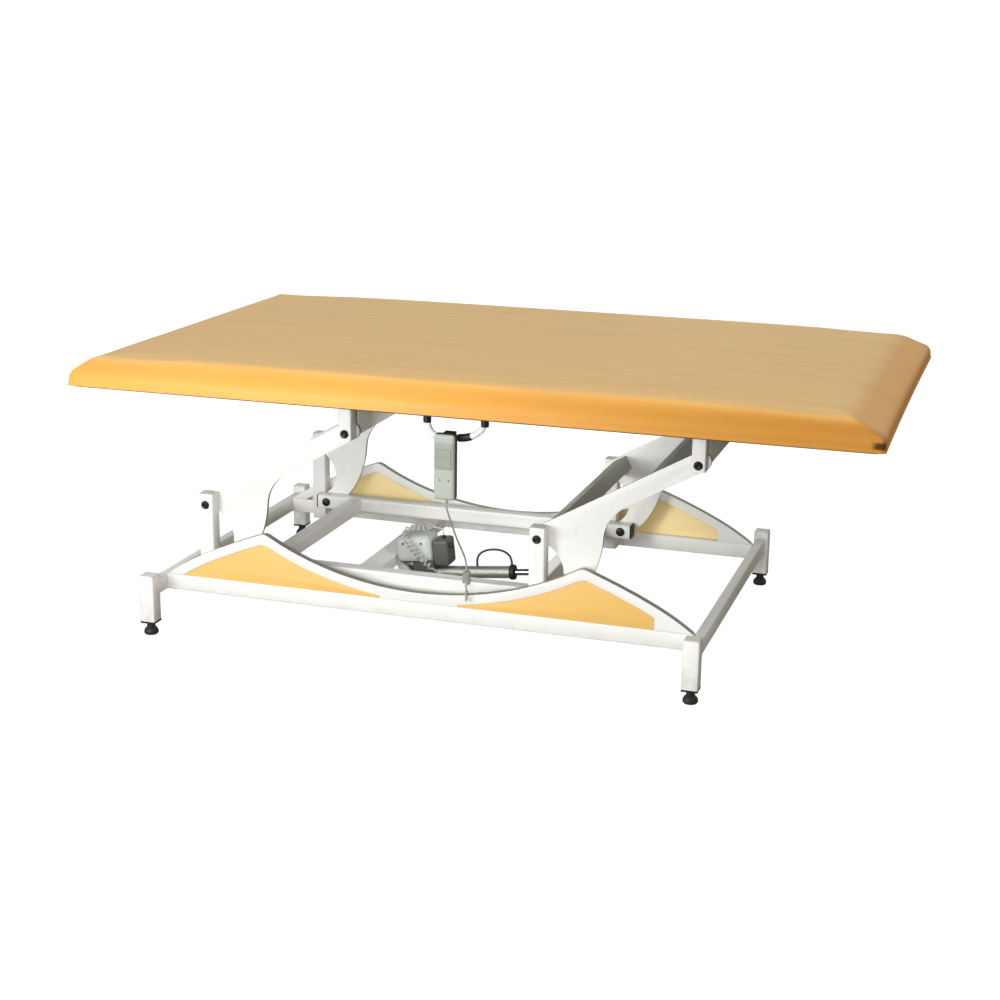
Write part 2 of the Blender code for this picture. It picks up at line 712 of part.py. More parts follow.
def build_tie_frame(right_axis):
    axis = pivot("tie_frame_axis", (LEVER_REACH, 0, -LEVER_DROP), right_axis)
    span = RIGHT_PIVOT_X - LEFT_PIVOT_X
    origin_x = RIGHT_PIVOT_X + LEVER_REACH
    hole = LEVER_PIN_RADIUS + PIN_CLEARANCE
    for side, sy in SIDES:
        bar = tube(
            f"tie_bar_{side}", TIE_SIZE, TIE_SIZE, span + 2 * TIE_OVERHANG, TUBE_WALL,
            WHITE, axis, (-span / 2, sy * TIE_Y, 0), ALONG_X,
        )
        drill(bar, hole, 2 * TIE_SIZE, axis, (0, sy * TIE_Y, 0))
        drill(bar, hole, 2 * TIE_SIZE, axis, (-span, sy * TIE_Y, 0))
    length = 2 * (TIE_INNER_Y - FIT_GAP)
    tube(
        "tie_cross_tube_left", TIE_CROSS_WIDTH, TIE_SIZE, length, TUBE_WALL,
        WHITE, axis, (TIE_LEFT_CROSS_X - origin_x, 0, 0), UPRIGHT,
    )
    right = tube(
        "tie_cross_tube_right", TIE_CROSS_WIDTH, TIE_SIZE, length, TUBE_WALL,
        WHITE, axis, (TIE_RIGHT_CROSS_X - origin_x, 0, 0), UPRIGHT,
    )
    # Two lugs under the right cross tube, each with a short slanted slot for the rod's pin
    lean = math.degrees(math.atan2(PIN_SLOT_RUN, PIN_SLOT_DROP))
    slot_r = CLEVIS_PIN_RADIUS + PIN_SLOT_CLEARANCE
    low = (PIN_SLOT_RUN, -FRONT_PIN_DROP - PIN_SLOT_DROP)
    slot = arc((0, -FRONT_PIN_DROP), slot_r, lean, lean + 180, 10)
    slot += arc(low, slot_r, lean + 180, lean + 360, 10)
    half = TIE_CROSS_WIDTH / 2 - 0.002
    root = -TIE_SIZE / 2 + TUBE_WALL / 2
    lug = [(half + PIN_SLOT_RUN, root), (-half, root), (-half, low[1])]
    lug += arc(low, LUG_RADIUS, 200, 340, 8)
    lug += [(half + PIN_SLOT_RUN, low[1])]
    for sy in (-1, 1):
        grow(
            right, plate_mesh("lug", [lug, slot], LUG_THICKNESS), axis,
            (TIE_RIGHT_CROSS_X - origin_x, sy * LUG_Y, 0), UPRIGHT,
        )


def build_actuator_beam():
    """The fixed cross-member with the rear lugs and their pin."""
    beam = tube(
        "actuator_beam", BEAM_WIDTH, BEAM_HEIGHT, 2 * (FRAME_INNER_Y - FIT_GAP), TUBE_WALL,
        WHITE, BASE, (BEAM_X, 0, BEAM_TOP - BEAM_HEIGHT / 2), UPRIGHT,
    )
    face = BEAM_X + BEAM_WIDTH / 2 - TUBE_WALL / 2
    bottom = BEAM_TOP - BEAM_HEIGHT + 0.002
    lug = [(face, BEAM_TOP - 0.008), (face, bottom)]
    lug += arc((REAR_PIN_X, REAR_PIN_Z), LUG_RADIUS, 200, 405, 12)
    for sy in (-1, 1):
        grow(beam, plate_mesh("lug", [lug], LUG_THICKNESS), BASE, (0, sy * LUG_Y, 0), UPRIGHT)
    pin = rod_mesh("pin", CLEVIS_PIN_RADIUS, 2 * LUG_Y + 2 * LUG_THICKNESS)
    grow(beam, pin, BASE, (REAR_PIN_X, 0, REAR_PIN_Z), UPRIGHT)


def build_actuator():
    axis = pivot("actuator_axis", (REAR_PIN_X, 0, REAR_PIN_Z), BASE, (0, -ACTUATOR_TILT, 0))
    # Gear housing with its rear eye
    eye_hole = arc((0, 0), CLEVIS_PIN_RADIUS + PIN_CLEARANCE, 0, 345, 23)
    eye = arc((0, 0), LUG_RADIUS, 60, 300, 14)
    eye += [(GEAR_START + 0.004, -LUG_RADIUS), (GEAR_START + 0.004, LUG_RADIUS)]
    gear = plate("actuator_housing", [eye, eye_hole], EYE_WIDTH, GREY, axis, (0, 0, 0), UPRIGHT)
    size = (GEAR_END - GEAR_START, GEAR_WIDTH, GEAR_BELOW + GEAR_ABOVE)
    centre = ((GEAR_START + GEAR_END) / 2, 0, (GEAR_ABOVE - GEAR_BELOW) / 2)
    grow(gear, block_mesh("gear", size, 0.006), axis, centre)
    # Motor on top of the gears in the same housing, and the dark control cap in front of it
    length = GEAR_END - MOTOR_START
    motor = block_mesh("motor", (length, MOTOR_WIDTH, MOTOR_HEIGHT + MOTOR_SEAT), 0.018, 3)
    middle = GEAR_ABOVE + (MOTOR_HEIGHT - MOTOR_SEAT) / 2
    grow(gear, motor, axis, (MOTOR_START + length / 2, 0, middle))
    add(
        "actuator_cap",
        block_mesh("actuator_cap", (CAP_LENGTH, CAP_WIDTH, CAP_HEIGHT), 0.008),
        BLACK_PLASTIC, axis, (GEAR_END + FIT_GAP + CAP_LENGTH / 2, 0, CAP_BOTTOM + CAP_HEIGHT / 2),
    )
    # Outer tube with its end collar, bored from the front
    back = GEAR_END + FIT_GAP
    turned(
        "actuator_tube",
        [
            (0, TUBE_END - TUBE_BORE_DEPTH),
            (TUBE_BORE_RADIUS, TUBE_END - TUBE_BORE_DEPTH),
            (TUBE_BORE_RADIUS, TUBE_END),
            (COLLAR_RADIUS - 0.002, TUBE_END),
            (COLLAR_RADIUS, TUBE_END - 0.002),
            (COLLAR_RADIUS, TUBE_END - COLLAR_LENGTH),
            (TUBE_RADIUS, TUBE_END - COLLAR_LENGTH - 0.001),
            (TUBE_RADIUS, back),
            (0, back),
        ],
        32, ALLOY, axis, (0, 0, 0), ALONG_X,
    )
    # Rod with its front eye and the pin that runs in the tie frame's lugs
    rod_axis = pivot("rod_axis", (ACTUATOR_LENGTH, 0, 0), axis)
    rod = add(
        "actuator_rod", rod_mesh("actuator_rod", ROD_RADIUS, ROD_LENGTH, 28), STEEL, rod_axis,
        (-ROD_LENGTH / 2, 0, 0), ALONG_X,
    )
    grow(rod, rod_mesh("eye", LUG_RADIUS * 0.9, EYE_WIDTH), rod_axis, (0, 0, 0), UPRIGHT)
    pin = rod_mesh("pin", CLEVIS_PIN_RADIUS, 2 * LUG_Y + 2 * LUG_THICKNESS)
    grow(rod, pin, rod_axis, (0, 0, 0), UPRIGHT)
    # The dark lead that leaves the collar and enters the tube again
    points = []
    start = TUBE_END - COLLAR_LENGTH / 2
    for i in range(25):
        t = i / 24
        ground = COLLAR_RADIUS + (TUBE_RADIUS - COLLAR_RADIUS) * t
        x = start - LEAD_SPAN * (t - math.sin(2 * math.pi * t) / (2 * math.pi))
        z = ground + FIT_GAP + LEAD_RISE * math.sin(math.pi * t)
        points.append((x, 0, z))
    wire("actuator_lead", points, LEAD_DIAMETER, 2, LEAD, axis)


def cushion_mesh(name):
    """The padded top about the board's underside: a lip, sloping sides and a slight crown."""
    a = TOP_LENGTH / 2
    b = TOP_WIDTH / 2
    bm = bmesh.new()
    near = (0.0, 0.3 * TOP_CORNER_RADIUS, TOP_CORNER_RADIUS)

    def stations(half, first_run, last_run, middle):
        first = [d - half for d in (*near, 0.6 * first_run, first_run - 0.006, first_run + 0.006)]
        last = [half - d for d in (*near, 0.6 * last_run, last_run - 0.006, last_run + 0.006)]
        start = first_run + 0.05 - half
        end = half - last_run - 0.05
        rows = [start + (end - start) * i / (middle - 1) for i in range(middle)]
        return first + rows + last[::-1]

    xs = stations(a, SLOPE_RUN_LEFT, SLOPE_RUN_RIGHT, 8)
    ys = stations(b, SLOPE_RUN_SIDES, SLOPE_RUN_SIDES, 6)
    bmesh.ops.create_grid(bm, x_segments=len(xs) - 1, y_segments=len(ys) - 1, size=1.0)
    bm.verts.ensure_lookup_table()
    for v in bm.verts:
        x = xs[round((v.co.x + 1) / 2 * (len(xs) - 1))]
        y = ys[round((v.co.y + 1) / 2 * (len(ys) - 1))]
        run = SLOPE_RUN_LEFT if x < 0 else SLOPE_RUN_RIGHT
        climb = min((a - abs(x)) / run, (b - abs(y)) / SLOPE_RUN_SIDES)
        z = LIP_HEIGHT + (PAD_HEIGHT - LIP_HEIGHT) * min(1.0, climb)
        across = 1 - (1 - CROWN_AT_SIDES) * (y / b) ** 2
        z += PAD_CROWN * min(1.0, climb) * (1 - (x / a) ** 4) * across
        corner = Vector((abs(x) - a + TOP_CORNER_RADIUS, abs(y) - b + TOP_CORNER_RADIUS))
        if corner.x > 0 and corner.y > 0:
            corner *= max(corner.x, corner.y) / corner.length
            x = math.copysign(a - TOP_CORNER_RADIUS + corner.x, x)
            y = math.copysign(b - TOP_CORNER_RADIUS + corner.y, y)
        waist_x = 1 - SIDE_WAIST / a * (1 - (y / b) ** 2)
        waist_y = 1 - SIDE_WAIST / b * (1 - (x / a) ** 2)
        v.co = (x * waist_x, y * waist_y, z)

    def drop(edges, change):
        grown = bmesh.ops.extrude_edge_only(bm, edges=edges)["geom"]
        for v in grown:
            if isinstance(v, bmesh.types.BMVert):
                change(v)
        return [e for e in grown if isinstance(e, bmesh.types.BMEdge) and e.is_boundary]

    def to_reveal(v):
        v.co.z = BOARD_REVEAL

    def inward(v):
        v.co.x *= 1 - SKIRT_THICKNESS / a
        v.co.y *= 1 - SKIRT_THICKNESS / b

    def to_board(v):
        v.co.z = BOARD_THICKNESS + FIT_GAP

    rim = [e for e in bm.edges if e.is_boundary]
    for change in (to_reveal, inward, to_board):
        rim = drop(rim, change)
    bmesh.ops.edgeloop_fill(bm, edges=rim)
    return mesh_of(name, bm)


def build_top(right_axis):
    axis = pivot("top_axis", (ARM_X, 0, ARM_Z), right_axis)
    middle = -TOP_PIVOT_X
    shrink = 2 * (SIDE_WAIST + SKIRT_THICKNESS + RUN_GAP)
    board = rounded(TOP_LENGTH - shrink, TOP_WIDTH - shrink, TOP_CORNER_RADIUS, 4)
    plate(
        "top_board", [board], BOARD_THICKNESS, BOARD, axis,
        (middle, 0, PIVOT_TO_BOARD + BOARD_THICKNESS / 2),
    )
    add("top_cushion", cushion_mesh("top_cushion"), VINYL, axis, (middle, 0, PIVOT_TO_BOARD))
    span = RIGHT_PIVOT_X - LEFT_PIVOT_X
    hanger = PIVOT_TO_BOARD - FIT_GAP + HANGER_BELOW_PIVOT
    beam = PIVOT_TO_BOARD - FIT_GAP + BEAM_BELOW_PIVOT
    for end, x in (("left", -span), ("right", 0.0)):
        tube(
            f"top_beam_{end}", HANGER_WIDTH, beam, 2 * BEAM_HALF_Y, BEAM_WALL,
            WHITE, axis, (x, 0, beam / 2 - BEAM_BELOW_PIVOT), UPRIGHT,
        )
        for side, sy in SIDES:
            at = (x, sy * POST_Y, hanger / 2 - HANGER_BELOW_PIVOT)
            post = tube(
                f"hanger_{side}_{end}", HANGER_WIDTH, POST_SIZE, hanger, TUBE_WALL, WHITE, axis, at
            )
            drill(post, BOLT_RADIUS + PIN_CLEARANCE, 2 * POST_SIZE, axis, (x, sy * POST_Y, 0))
            grip = POST_SIZE + ARM_THICKNESS + 2 * RUN_GAP + BOLT_END_REACH
            bolt(
                f"upper_pivot_bolt_{side}_{end}", grip, axis,
                (x, sy * (POST_Y + POST_SIZE / 2), 0), sy,
            )
    return axis


def loop_points():
    """The hanging loop's centre line, from its left end to its right end."""
    top = BOARD_UNDERSIDE - FIT_GAP
    low = LOOP_BOTTOM
    left = (LOOP_LEFT_X, top - LOOP_STRAIGHT)
    right = (LOOP_RIGHT_X, top - LOOP_STRAIGHT)
    flat = (LOOP_FLAT_RIGHT, low)
    line = [(LOOP_LEFT_X, top), left]
    line += cubic(left, (LOOP_LEFT_X, low + 0.012), (LOOP_FLAT_LEFT - 0.024, low), (LOOP_FLAT_LEFT, low), 9)
    line += [flat]
    line += cubic(flat, (LOOP_FLAT_RIGHT + 0.038, low), (LOOP_RIGHT_X, low + 0.020), right, 10)
    line += [(LOOP_RIGHT_X, top)]
    return [(x, LOOP_Y, z) for x, z in line]


def build_handset(top_axis):
    origin = Vector((TOP_PIVOT_X, 0, PIVOT_HEIGHT + ARM_Z))
    points = [tuple(Vector(p) - origin) for p in loop_points()]
    wire("handset_loop", points, 2 * LOOP_RADIUS, 3, WHITE, top_axis)
    place = Vector((HANDSET_X, HANDSET_Y, HANDSET_TOP)) - origin
    axis = pivot("handset_axis", place, top_axis)
    case = add(
        "handset",
        block_mesh("handset", (HANDSET_WIDTH, HANDSET_DEPTH, HANDSET_HEIGHT), 0.007, 3),
        HANDSET, axis, (0, 0, -HANDSET_HEIGHT / 2),
    )
    back = HANDSET_DEPTH / 2
    under = HOOK_REST_Z - HANDSET_TOP
    lip = back + HANDSET_BEHIND + 2 * LOOP_RADIUS + HOOK_PLAY
    hook = [
        (back - HOOK_THICKNESS, under),
        (lip, under),
        (lip, under - HOOK_LIP),
        (lip + HOOK_THICKNESS, under - HOOK_LIP),
        (lip + HOOK_THICKNESS, under + HOOK_THICKNESS),
        (back - HOOK_THICKNESS, under + HOOK_THICKNESS),
    ]
    grow(case, plate_mesh("hook", [hook], HOOK_WIDTH), axis, (0, 0, 0), (math.pi / 2, 0, math.pi / 2))
    thick = BUTTON_POCKET - BUTTON_TRAVEL - FIT_GAP + BUTTON_PROUD
    for i, name in enumerate(("button_up", "button_down")):
        z = -BUTTON_FROM_TOP - i * BUTTON_PITCH
        pocket = block_mesh(
            "pocket", (BUTTON_WIDTH + 2 * FIT_GAP, 2 * BUTTON_POCKET, BUTTON_HEIGHT + 2 * FIT_GAP)
        )
        tool = add(name + "_pocket", pocket, None, axis, (0, -HANDSET_DEPTH / 2, z), (0, 0, 0), CUTTERS)
        combine(case, tool, "DIFFERENCE")
        add(
            name, block_mesh(name, (BUTTON_WIDTH, thick, BUTTON_HEIGHT), 0.0012, 2), BUTTON, axis,
            (0, -HANDSET_DEPTH / 2 - BUTTON_PROUD + thick / 2, z),
        )
    return axis


def spline_through(points, steps):
    """A smooth line through a few points."""
    pts = [Vector(p) for p in points]
    pts = [2 * pts[0] - pts[1]] + pts + [2 * pts[-1] - pts[-2]]
    line = []
    for p0, p1, p2, p3 in zip(pts, pts[1:], pts[2:], pts[3:]):
        for i in range(steps):
            t = i / steps
            line.append(
                0.5 * (2 * p1 + (p2 - p0) * t + (2 * p0 - 5 * p1 + 4 * p2 - p3) * t * t
                       + (3 * p1 - p0 - 3 * p2 + p3) * t**3)
            )
    return line + [pts[-2]]


def spaced(line, step):
    """The line again with even steps along it."""
    lengths = [0.0]
    for p, q in zip(line, line[1:]):
        lengths.append(lengths[-1] + (q - p).length)
    count = max(2, round(lengths[-1] / step))
    out = []
    k = 0
    for i in range(count + 1):
        s = lengths[-1] * i / count
        while k < len(line) - 2 and lengths[k + 1] < s:
            k += 1
        t = (s - lengths[k]) / (lengths[k + 1] - lengths[k])
        out.append(line[k].lerp(line[k + 1], t))
    return out


def curled(line, radius, pitch, reference):
    """A line wound into curls, drawn in to the line at both ends."""
    path = spaced(line, pitch / POINTS_PER_CURL)
    side = Vector(reference).normalized()
    out = []
    last = len(path) - 1
    for i, p in enumerate(path):
        along = (path[min(last, i + 1)] - path[max(0, i - 1)]).normalized()
        side = (side - along * side.dot(along)).normalized()
        other = along.cross(side)
        turn = 2 * math.pi * i / POINTS_PER_CURL
        ends = min(i, last - i) / POINTS_PER_CURL
        reach = radius * min(1.0, max(0.0, ends - 1 / POINTS_PER_CURL))
        out.append(p + reach * (math.cos(turn) * side + math.sin(turn) * other))
    return out


def least_gap(points, diameter, apart):
    """The least clear distance between stretches of a wire that aren't neighbours."""
    gap = 1.0
    for i, p in enumerate(points):
        for q in points[i + apart:]:
            gap = min(gap, (p - q).length - diameter)
    return gap


def build_cords(handset_axis):
    # Hanging stretch: from the handset's underside to the curls in front of the side frame
    origin = Vector((HANDSET_X, HANDSET_Y, HANDSET_TOP))
    start = Vector((HANDSET_X + CORD_EXIT_X, HANDSET_Y, HANDSET_BOTTOM - FIT_GAP))
    top = Vector((CURL_X, CURL_Y, CURL_TOP_Z))
    bottom = Vector((CURL_X, CURL_Y, CURL_BOTTOM_Z))
    reach = top - start
    line = spline_through(
        [
            start + Vector((0, 0, -1.5 * CORD_DIAMETER)),
            start + Vector((0, 0, -5.0 * CORD_DIAMETER)),
            start + Vector((reach.x * 0.42, reach.y * 0.45, reach.z * 0.52)),
            start + Vector((reach.x * 0.85, reach.y * 0.90, reach.z * 0.86)),
            top,
        ],
        12,
    )
    hang = spaced(line, 2.2 * CORD_DIAMETER)
    curls = curled([top, bottom], CURL_RADIUS, CURL_PITCH, (1, 0, 0))
    tail = [bottom + Vector((0, 0, -CORD_DIAMETER))]
    points = [start] + hang[:-1] + curls + tail
    print("hanging cord least gap mm", round(1000 * least_gap(points, CORD_DIAMETER, POINTS_PER_CURL - 2), 2))
    wire("handset_cord", [tuple(p - origin) for p in points], CORD_DIAMETER, 1, CORD, handset_axis)
    # Lower stretch: over the side frame's dip, under the tie bar and up to the curls on the motor
    begin = tail[0] + Vector((0, 0, -FIT_GAP))
    over = RAIL_TOP + BAND_THICKNESS + 0.016
    inside = FRAME_INNER_Y - 0.010
    tilt = Vector((math.cos(ACTUATOR_TILT), 0, math.sin(ACTUATOR_TILT)))
    rise = Vector((-tilt.z, 0, tilt.x))
    rear = Vector((BASE_SHIFT + REAR_PIN_X, 0, REAR_PIN_Z))

    def by_motor(along, y, height):
        return rear + tilt * along + rise * height + Vector((0, y, 0))

    motor_top = GEAR_ABOVE + MOTOR_HEIGHT
    flank = MOTOR_WIDTH / 2 + HEAP_CURL_RADIUS + CORD_DIAMETER / 2 + 0.007
    above = motor_top + HEAP_CURL_RADIUS + CORD_DIAMETER / 2 + 0.007
    gland = by_motor(GEAR_END + 0.6 * CAP_LENGTH, 0, CAP_BOTTOM + CAP_HEIGHT + FIT_GAP)
    run = [
        begin + Vector((0, 0, -1.2 * CORD_DIAMETER)),
        begin + Vector((0, 0, -2.4 * CORD_DIAMETER)),
        Vector((CURL_X - 0.003, -FRAME_OUTER_Y - 0.013, over - 0.016)),
        Vector((CURL_X - 0.007, -FRAME_OUTER_Y - 0.005, over - 0.003)),
        Vector((CURL_X - 0.011, -FRAME_OUTER_Y + 0.010, over + 0.002)),
        Vector((CURL_X - 0.016, -inside, over - 0.008)),
        Vector((CURL_X - 0.022, -inside + 0.010, over - 0.040)),
        Vector((CURL_X - 0.030, -POST_Y + 0.020, 0.116)),
        Vector((CURL_X - 0.060, -TIE_Y + 0.030, 0.098)),
        by_motor(GEAR_END + 0.050, -0.150, -0.020),
        by_motor(GEAR_END + 0.034, -flank - 0.030, -0.014),
        by_motor(GEAR_END + 0.026, -flank, 0.012),
    ]
    heap = [
        by_motor(GEAR_END + 0.026, -flank, 0.012),
        by_motor(GEAR_END - 0.010, -flank, 0.042),
        by_motor(0.046, -flank, 0.078),
        by_motor(0.022, -flank + 0.008, above - 0.014),
        by_motor(0.022, -0.024, above),
        by_motor(0.054, -0.010, above + 0.002),
        by_motor(GEAR_END + 0.006, -0.004, above),
        by_motor(GEAR_END + 0.6 * CAP_LENGTH, 0, above - 0.006),
    ]
    strand = spaced(spline_through(run, 8), 2.4 * CORD_DIAMETER)
    wound = curled(spline_through(heap, 16), HEAP_CURL_RADIUS, HEAP_PITCH, (1, 0, 0))
    points = [begin] + strand[:-1] + wound + [gland + rise * CORD_DIAMETER, gland]
    print("lower cord least gap mm", round(1000 * least_gap(points, CORD_DIAMETER, POINTS_PER_CURL - 2), 2))
    shift = Vector((BASE_SHIFT, 0, 0))
    wire("motor_cord", [tuple(p - shift) for p in points], CORD_DIAMETER, 1, CORD, BASE)


build_base()
build_side_frames()
build_posts()
RIGHT_AXIS = build_arms()
build_tie_frame(RIGHT_AXIS)
build_actuator_beam()
build_actuator()
TOP_AXIS = build_top(RIGHT_AXIS)
HANDSET_AXIS = build_handset(TOP_AXIS)
build_cords(HANDSET_AXIS)
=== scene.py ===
"""Looks of a wide padded therapy table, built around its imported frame.

Metres, +Z up. The origin is on the floor under the middle of the padded top, +X runs along its
length, to the right when the handset side faces the viewer, and -Y is the handset side.
"""

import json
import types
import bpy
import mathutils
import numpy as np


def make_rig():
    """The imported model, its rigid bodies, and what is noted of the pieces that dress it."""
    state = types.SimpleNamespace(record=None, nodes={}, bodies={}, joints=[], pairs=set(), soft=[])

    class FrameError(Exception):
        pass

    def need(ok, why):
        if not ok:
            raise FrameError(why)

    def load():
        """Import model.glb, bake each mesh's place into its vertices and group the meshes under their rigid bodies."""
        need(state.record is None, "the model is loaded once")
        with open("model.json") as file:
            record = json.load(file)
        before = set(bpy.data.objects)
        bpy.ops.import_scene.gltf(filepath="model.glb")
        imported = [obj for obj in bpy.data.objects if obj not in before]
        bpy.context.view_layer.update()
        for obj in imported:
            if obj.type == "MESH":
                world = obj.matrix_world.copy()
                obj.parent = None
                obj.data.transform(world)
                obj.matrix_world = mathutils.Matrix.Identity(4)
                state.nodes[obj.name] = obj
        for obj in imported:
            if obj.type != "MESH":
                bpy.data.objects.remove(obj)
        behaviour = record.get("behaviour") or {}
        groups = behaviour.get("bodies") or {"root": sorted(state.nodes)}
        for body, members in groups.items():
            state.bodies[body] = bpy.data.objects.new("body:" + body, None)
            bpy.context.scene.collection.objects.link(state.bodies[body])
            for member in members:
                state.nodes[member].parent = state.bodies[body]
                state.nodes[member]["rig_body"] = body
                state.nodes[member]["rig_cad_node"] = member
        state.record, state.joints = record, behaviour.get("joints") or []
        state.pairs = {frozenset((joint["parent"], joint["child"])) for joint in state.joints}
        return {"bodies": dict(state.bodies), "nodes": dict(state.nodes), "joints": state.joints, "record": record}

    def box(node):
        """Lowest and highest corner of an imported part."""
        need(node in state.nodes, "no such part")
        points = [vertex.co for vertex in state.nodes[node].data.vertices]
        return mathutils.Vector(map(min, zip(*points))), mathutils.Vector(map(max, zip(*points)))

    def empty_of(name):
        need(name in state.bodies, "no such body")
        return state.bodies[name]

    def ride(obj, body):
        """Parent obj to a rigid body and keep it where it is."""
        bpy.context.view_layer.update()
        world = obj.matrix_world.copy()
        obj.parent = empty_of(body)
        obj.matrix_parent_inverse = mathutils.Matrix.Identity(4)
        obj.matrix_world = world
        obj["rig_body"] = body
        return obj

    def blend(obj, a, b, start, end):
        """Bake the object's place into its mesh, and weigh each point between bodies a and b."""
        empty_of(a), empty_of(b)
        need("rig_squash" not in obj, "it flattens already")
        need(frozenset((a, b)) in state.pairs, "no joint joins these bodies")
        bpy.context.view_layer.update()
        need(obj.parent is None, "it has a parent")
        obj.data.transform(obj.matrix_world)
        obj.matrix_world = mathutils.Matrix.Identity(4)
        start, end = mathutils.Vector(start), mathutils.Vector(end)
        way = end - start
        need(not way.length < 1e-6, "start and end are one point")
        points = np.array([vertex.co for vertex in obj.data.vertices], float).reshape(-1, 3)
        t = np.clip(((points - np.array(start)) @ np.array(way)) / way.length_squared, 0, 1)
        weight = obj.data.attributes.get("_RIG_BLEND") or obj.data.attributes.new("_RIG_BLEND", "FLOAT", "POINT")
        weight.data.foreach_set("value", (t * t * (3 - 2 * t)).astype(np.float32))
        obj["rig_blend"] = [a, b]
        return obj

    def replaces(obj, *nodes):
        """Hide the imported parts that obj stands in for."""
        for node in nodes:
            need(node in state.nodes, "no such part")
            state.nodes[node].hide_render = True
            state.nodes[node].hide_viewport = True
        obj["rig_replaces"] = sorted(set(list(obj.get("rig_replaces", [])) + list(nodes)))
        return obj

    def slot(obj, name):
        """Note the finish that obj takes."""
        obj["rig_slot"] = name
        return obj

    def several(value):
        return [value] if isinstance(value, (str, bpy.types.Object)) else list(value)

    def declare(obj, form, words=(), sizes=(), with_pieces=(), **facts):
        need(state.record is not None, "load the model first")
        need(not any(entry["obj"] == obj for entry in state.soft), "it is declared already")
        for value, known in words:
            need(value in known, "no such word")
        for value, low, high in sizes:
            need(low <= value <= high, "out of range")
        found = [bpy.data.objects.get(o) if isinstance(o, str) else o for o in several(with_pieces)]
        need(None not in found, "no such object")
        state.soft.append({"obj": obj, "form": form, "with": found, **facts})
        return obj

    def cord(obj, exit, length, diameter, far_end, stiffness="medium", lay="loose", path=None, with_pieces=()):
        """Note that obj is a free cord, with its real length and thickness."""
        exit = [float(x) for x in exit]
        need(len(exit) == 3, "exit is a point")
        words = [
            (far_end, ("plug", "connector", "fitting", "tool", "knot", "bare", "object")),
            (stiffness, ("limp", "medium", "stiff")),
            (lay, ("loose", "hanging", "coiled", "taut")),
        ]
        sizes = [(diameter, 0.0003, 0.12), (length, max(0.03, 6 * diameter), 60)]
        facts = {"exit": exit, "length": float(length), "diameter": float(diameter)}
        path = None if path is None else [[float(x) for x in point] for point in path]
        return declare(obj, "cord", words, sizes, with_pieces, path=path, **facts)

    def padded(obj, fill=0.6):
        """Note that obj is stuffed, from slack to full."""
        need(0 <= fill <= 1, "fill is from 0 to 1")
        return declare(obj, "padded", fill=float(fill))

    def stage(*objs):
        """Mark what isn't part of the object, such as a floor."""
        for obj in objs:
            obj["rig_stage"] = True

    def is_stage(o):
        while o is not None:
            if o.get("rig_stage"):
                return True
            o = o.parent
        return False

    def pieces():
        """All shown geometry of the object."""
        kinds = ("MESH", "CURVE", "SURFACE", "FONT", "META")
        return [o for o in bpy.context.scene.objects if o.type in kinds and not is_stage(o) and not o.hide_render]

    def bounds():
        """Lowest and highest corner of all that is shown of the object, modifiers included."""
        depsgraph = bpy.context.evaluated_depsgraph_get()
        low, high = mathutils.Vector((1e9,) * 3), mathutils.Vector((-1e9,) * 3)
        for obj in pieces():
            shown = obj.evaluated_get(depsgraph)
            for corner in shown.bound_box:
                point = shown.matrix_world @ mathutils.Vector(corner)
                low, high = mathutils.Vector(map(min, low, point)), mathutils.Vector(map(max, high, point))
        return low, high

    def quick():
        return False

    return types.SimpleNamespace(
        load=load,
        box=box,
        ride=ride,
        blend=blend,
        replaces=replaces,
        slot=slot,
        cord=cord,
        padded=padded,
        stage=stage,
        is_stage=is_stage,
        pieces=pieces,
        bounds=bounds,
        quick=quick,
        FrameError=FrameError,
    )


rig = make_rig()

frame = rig.load()
CAD_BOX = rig.bounds()

import json
import logging
import math
from dataclasses import dataclass
from enum import Enum
from itertools import product

import bmesh
import bpy
from mathutils import Euler, Matrix, Vector

LOG = logging.getLogger("therapy_table")
SIZE_FILE = "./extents.json"
QUARTER = math.pi / 2
Colour = tuple[float, float, float]
Triple = tuple[float, float, float]
Profile = tuple[tuple[float, float], ...]
EVEN: Triple = (1.0, 1.0, 1.0)
FLAT_ANGLE = math.radians(1.5)
SHARP_ANGLE = math.radians(50)
# faces that lean less than this towards Y are plate edges, and they take painted shade
SHADED_EDGE_NORMAL = 0.35
ROUND_STEPS = 24


class Body(str, Enum):
    """The bodies of the frame that carry new pieces."""

    BASE = "base"
    LEFT_ARM_FRONT = "left_arm_front"
    LEFT_ARM_REAR = "left_arm_rear"
    RIGHT_ARMS = "right_arms"
    TIE_FRAME = "tie_frame"
    ACTUATOR = "actuator"
    TOP = "top"
    HANDSET = "handset"


class Stiffness(str, Enum):
    """How stiff a cord is."""

    LIMP = "limp"
    MEDIUM = "medium"


class Lay(str, Enum):
    """How a cord lies."""

    HANGING = "hanging"
    LOOSE = "loose"


class Way(Enum):
    """A direction with its sign, whose word stands in node names."""

    def __str__(self) -> str:
        """The word in node names."""
        return self.name.lower()


class Side(Way):
    """The long sides, by the sign of their Y."""

    FRONT = -1.0
    REAR = 1.0


class End(Way):
    """The ends, by the sign of their X."""

    LEFT = -1.0
    RIGHT = 1.0


CORNERS: list[tuple[Side, End]] = list(product(Side, End))


def srgb(red: int, green: int, blue: int) -> Colour:
    """Linear colour of a screen colour given from 0 to 255."""
    return tuple(
        (c / 12.92 if c <= 0.04045 else ((c + 0.055) / 1.055) ** 2.4)
        for c in (red / 255, green / 255, blue / 255)
    )


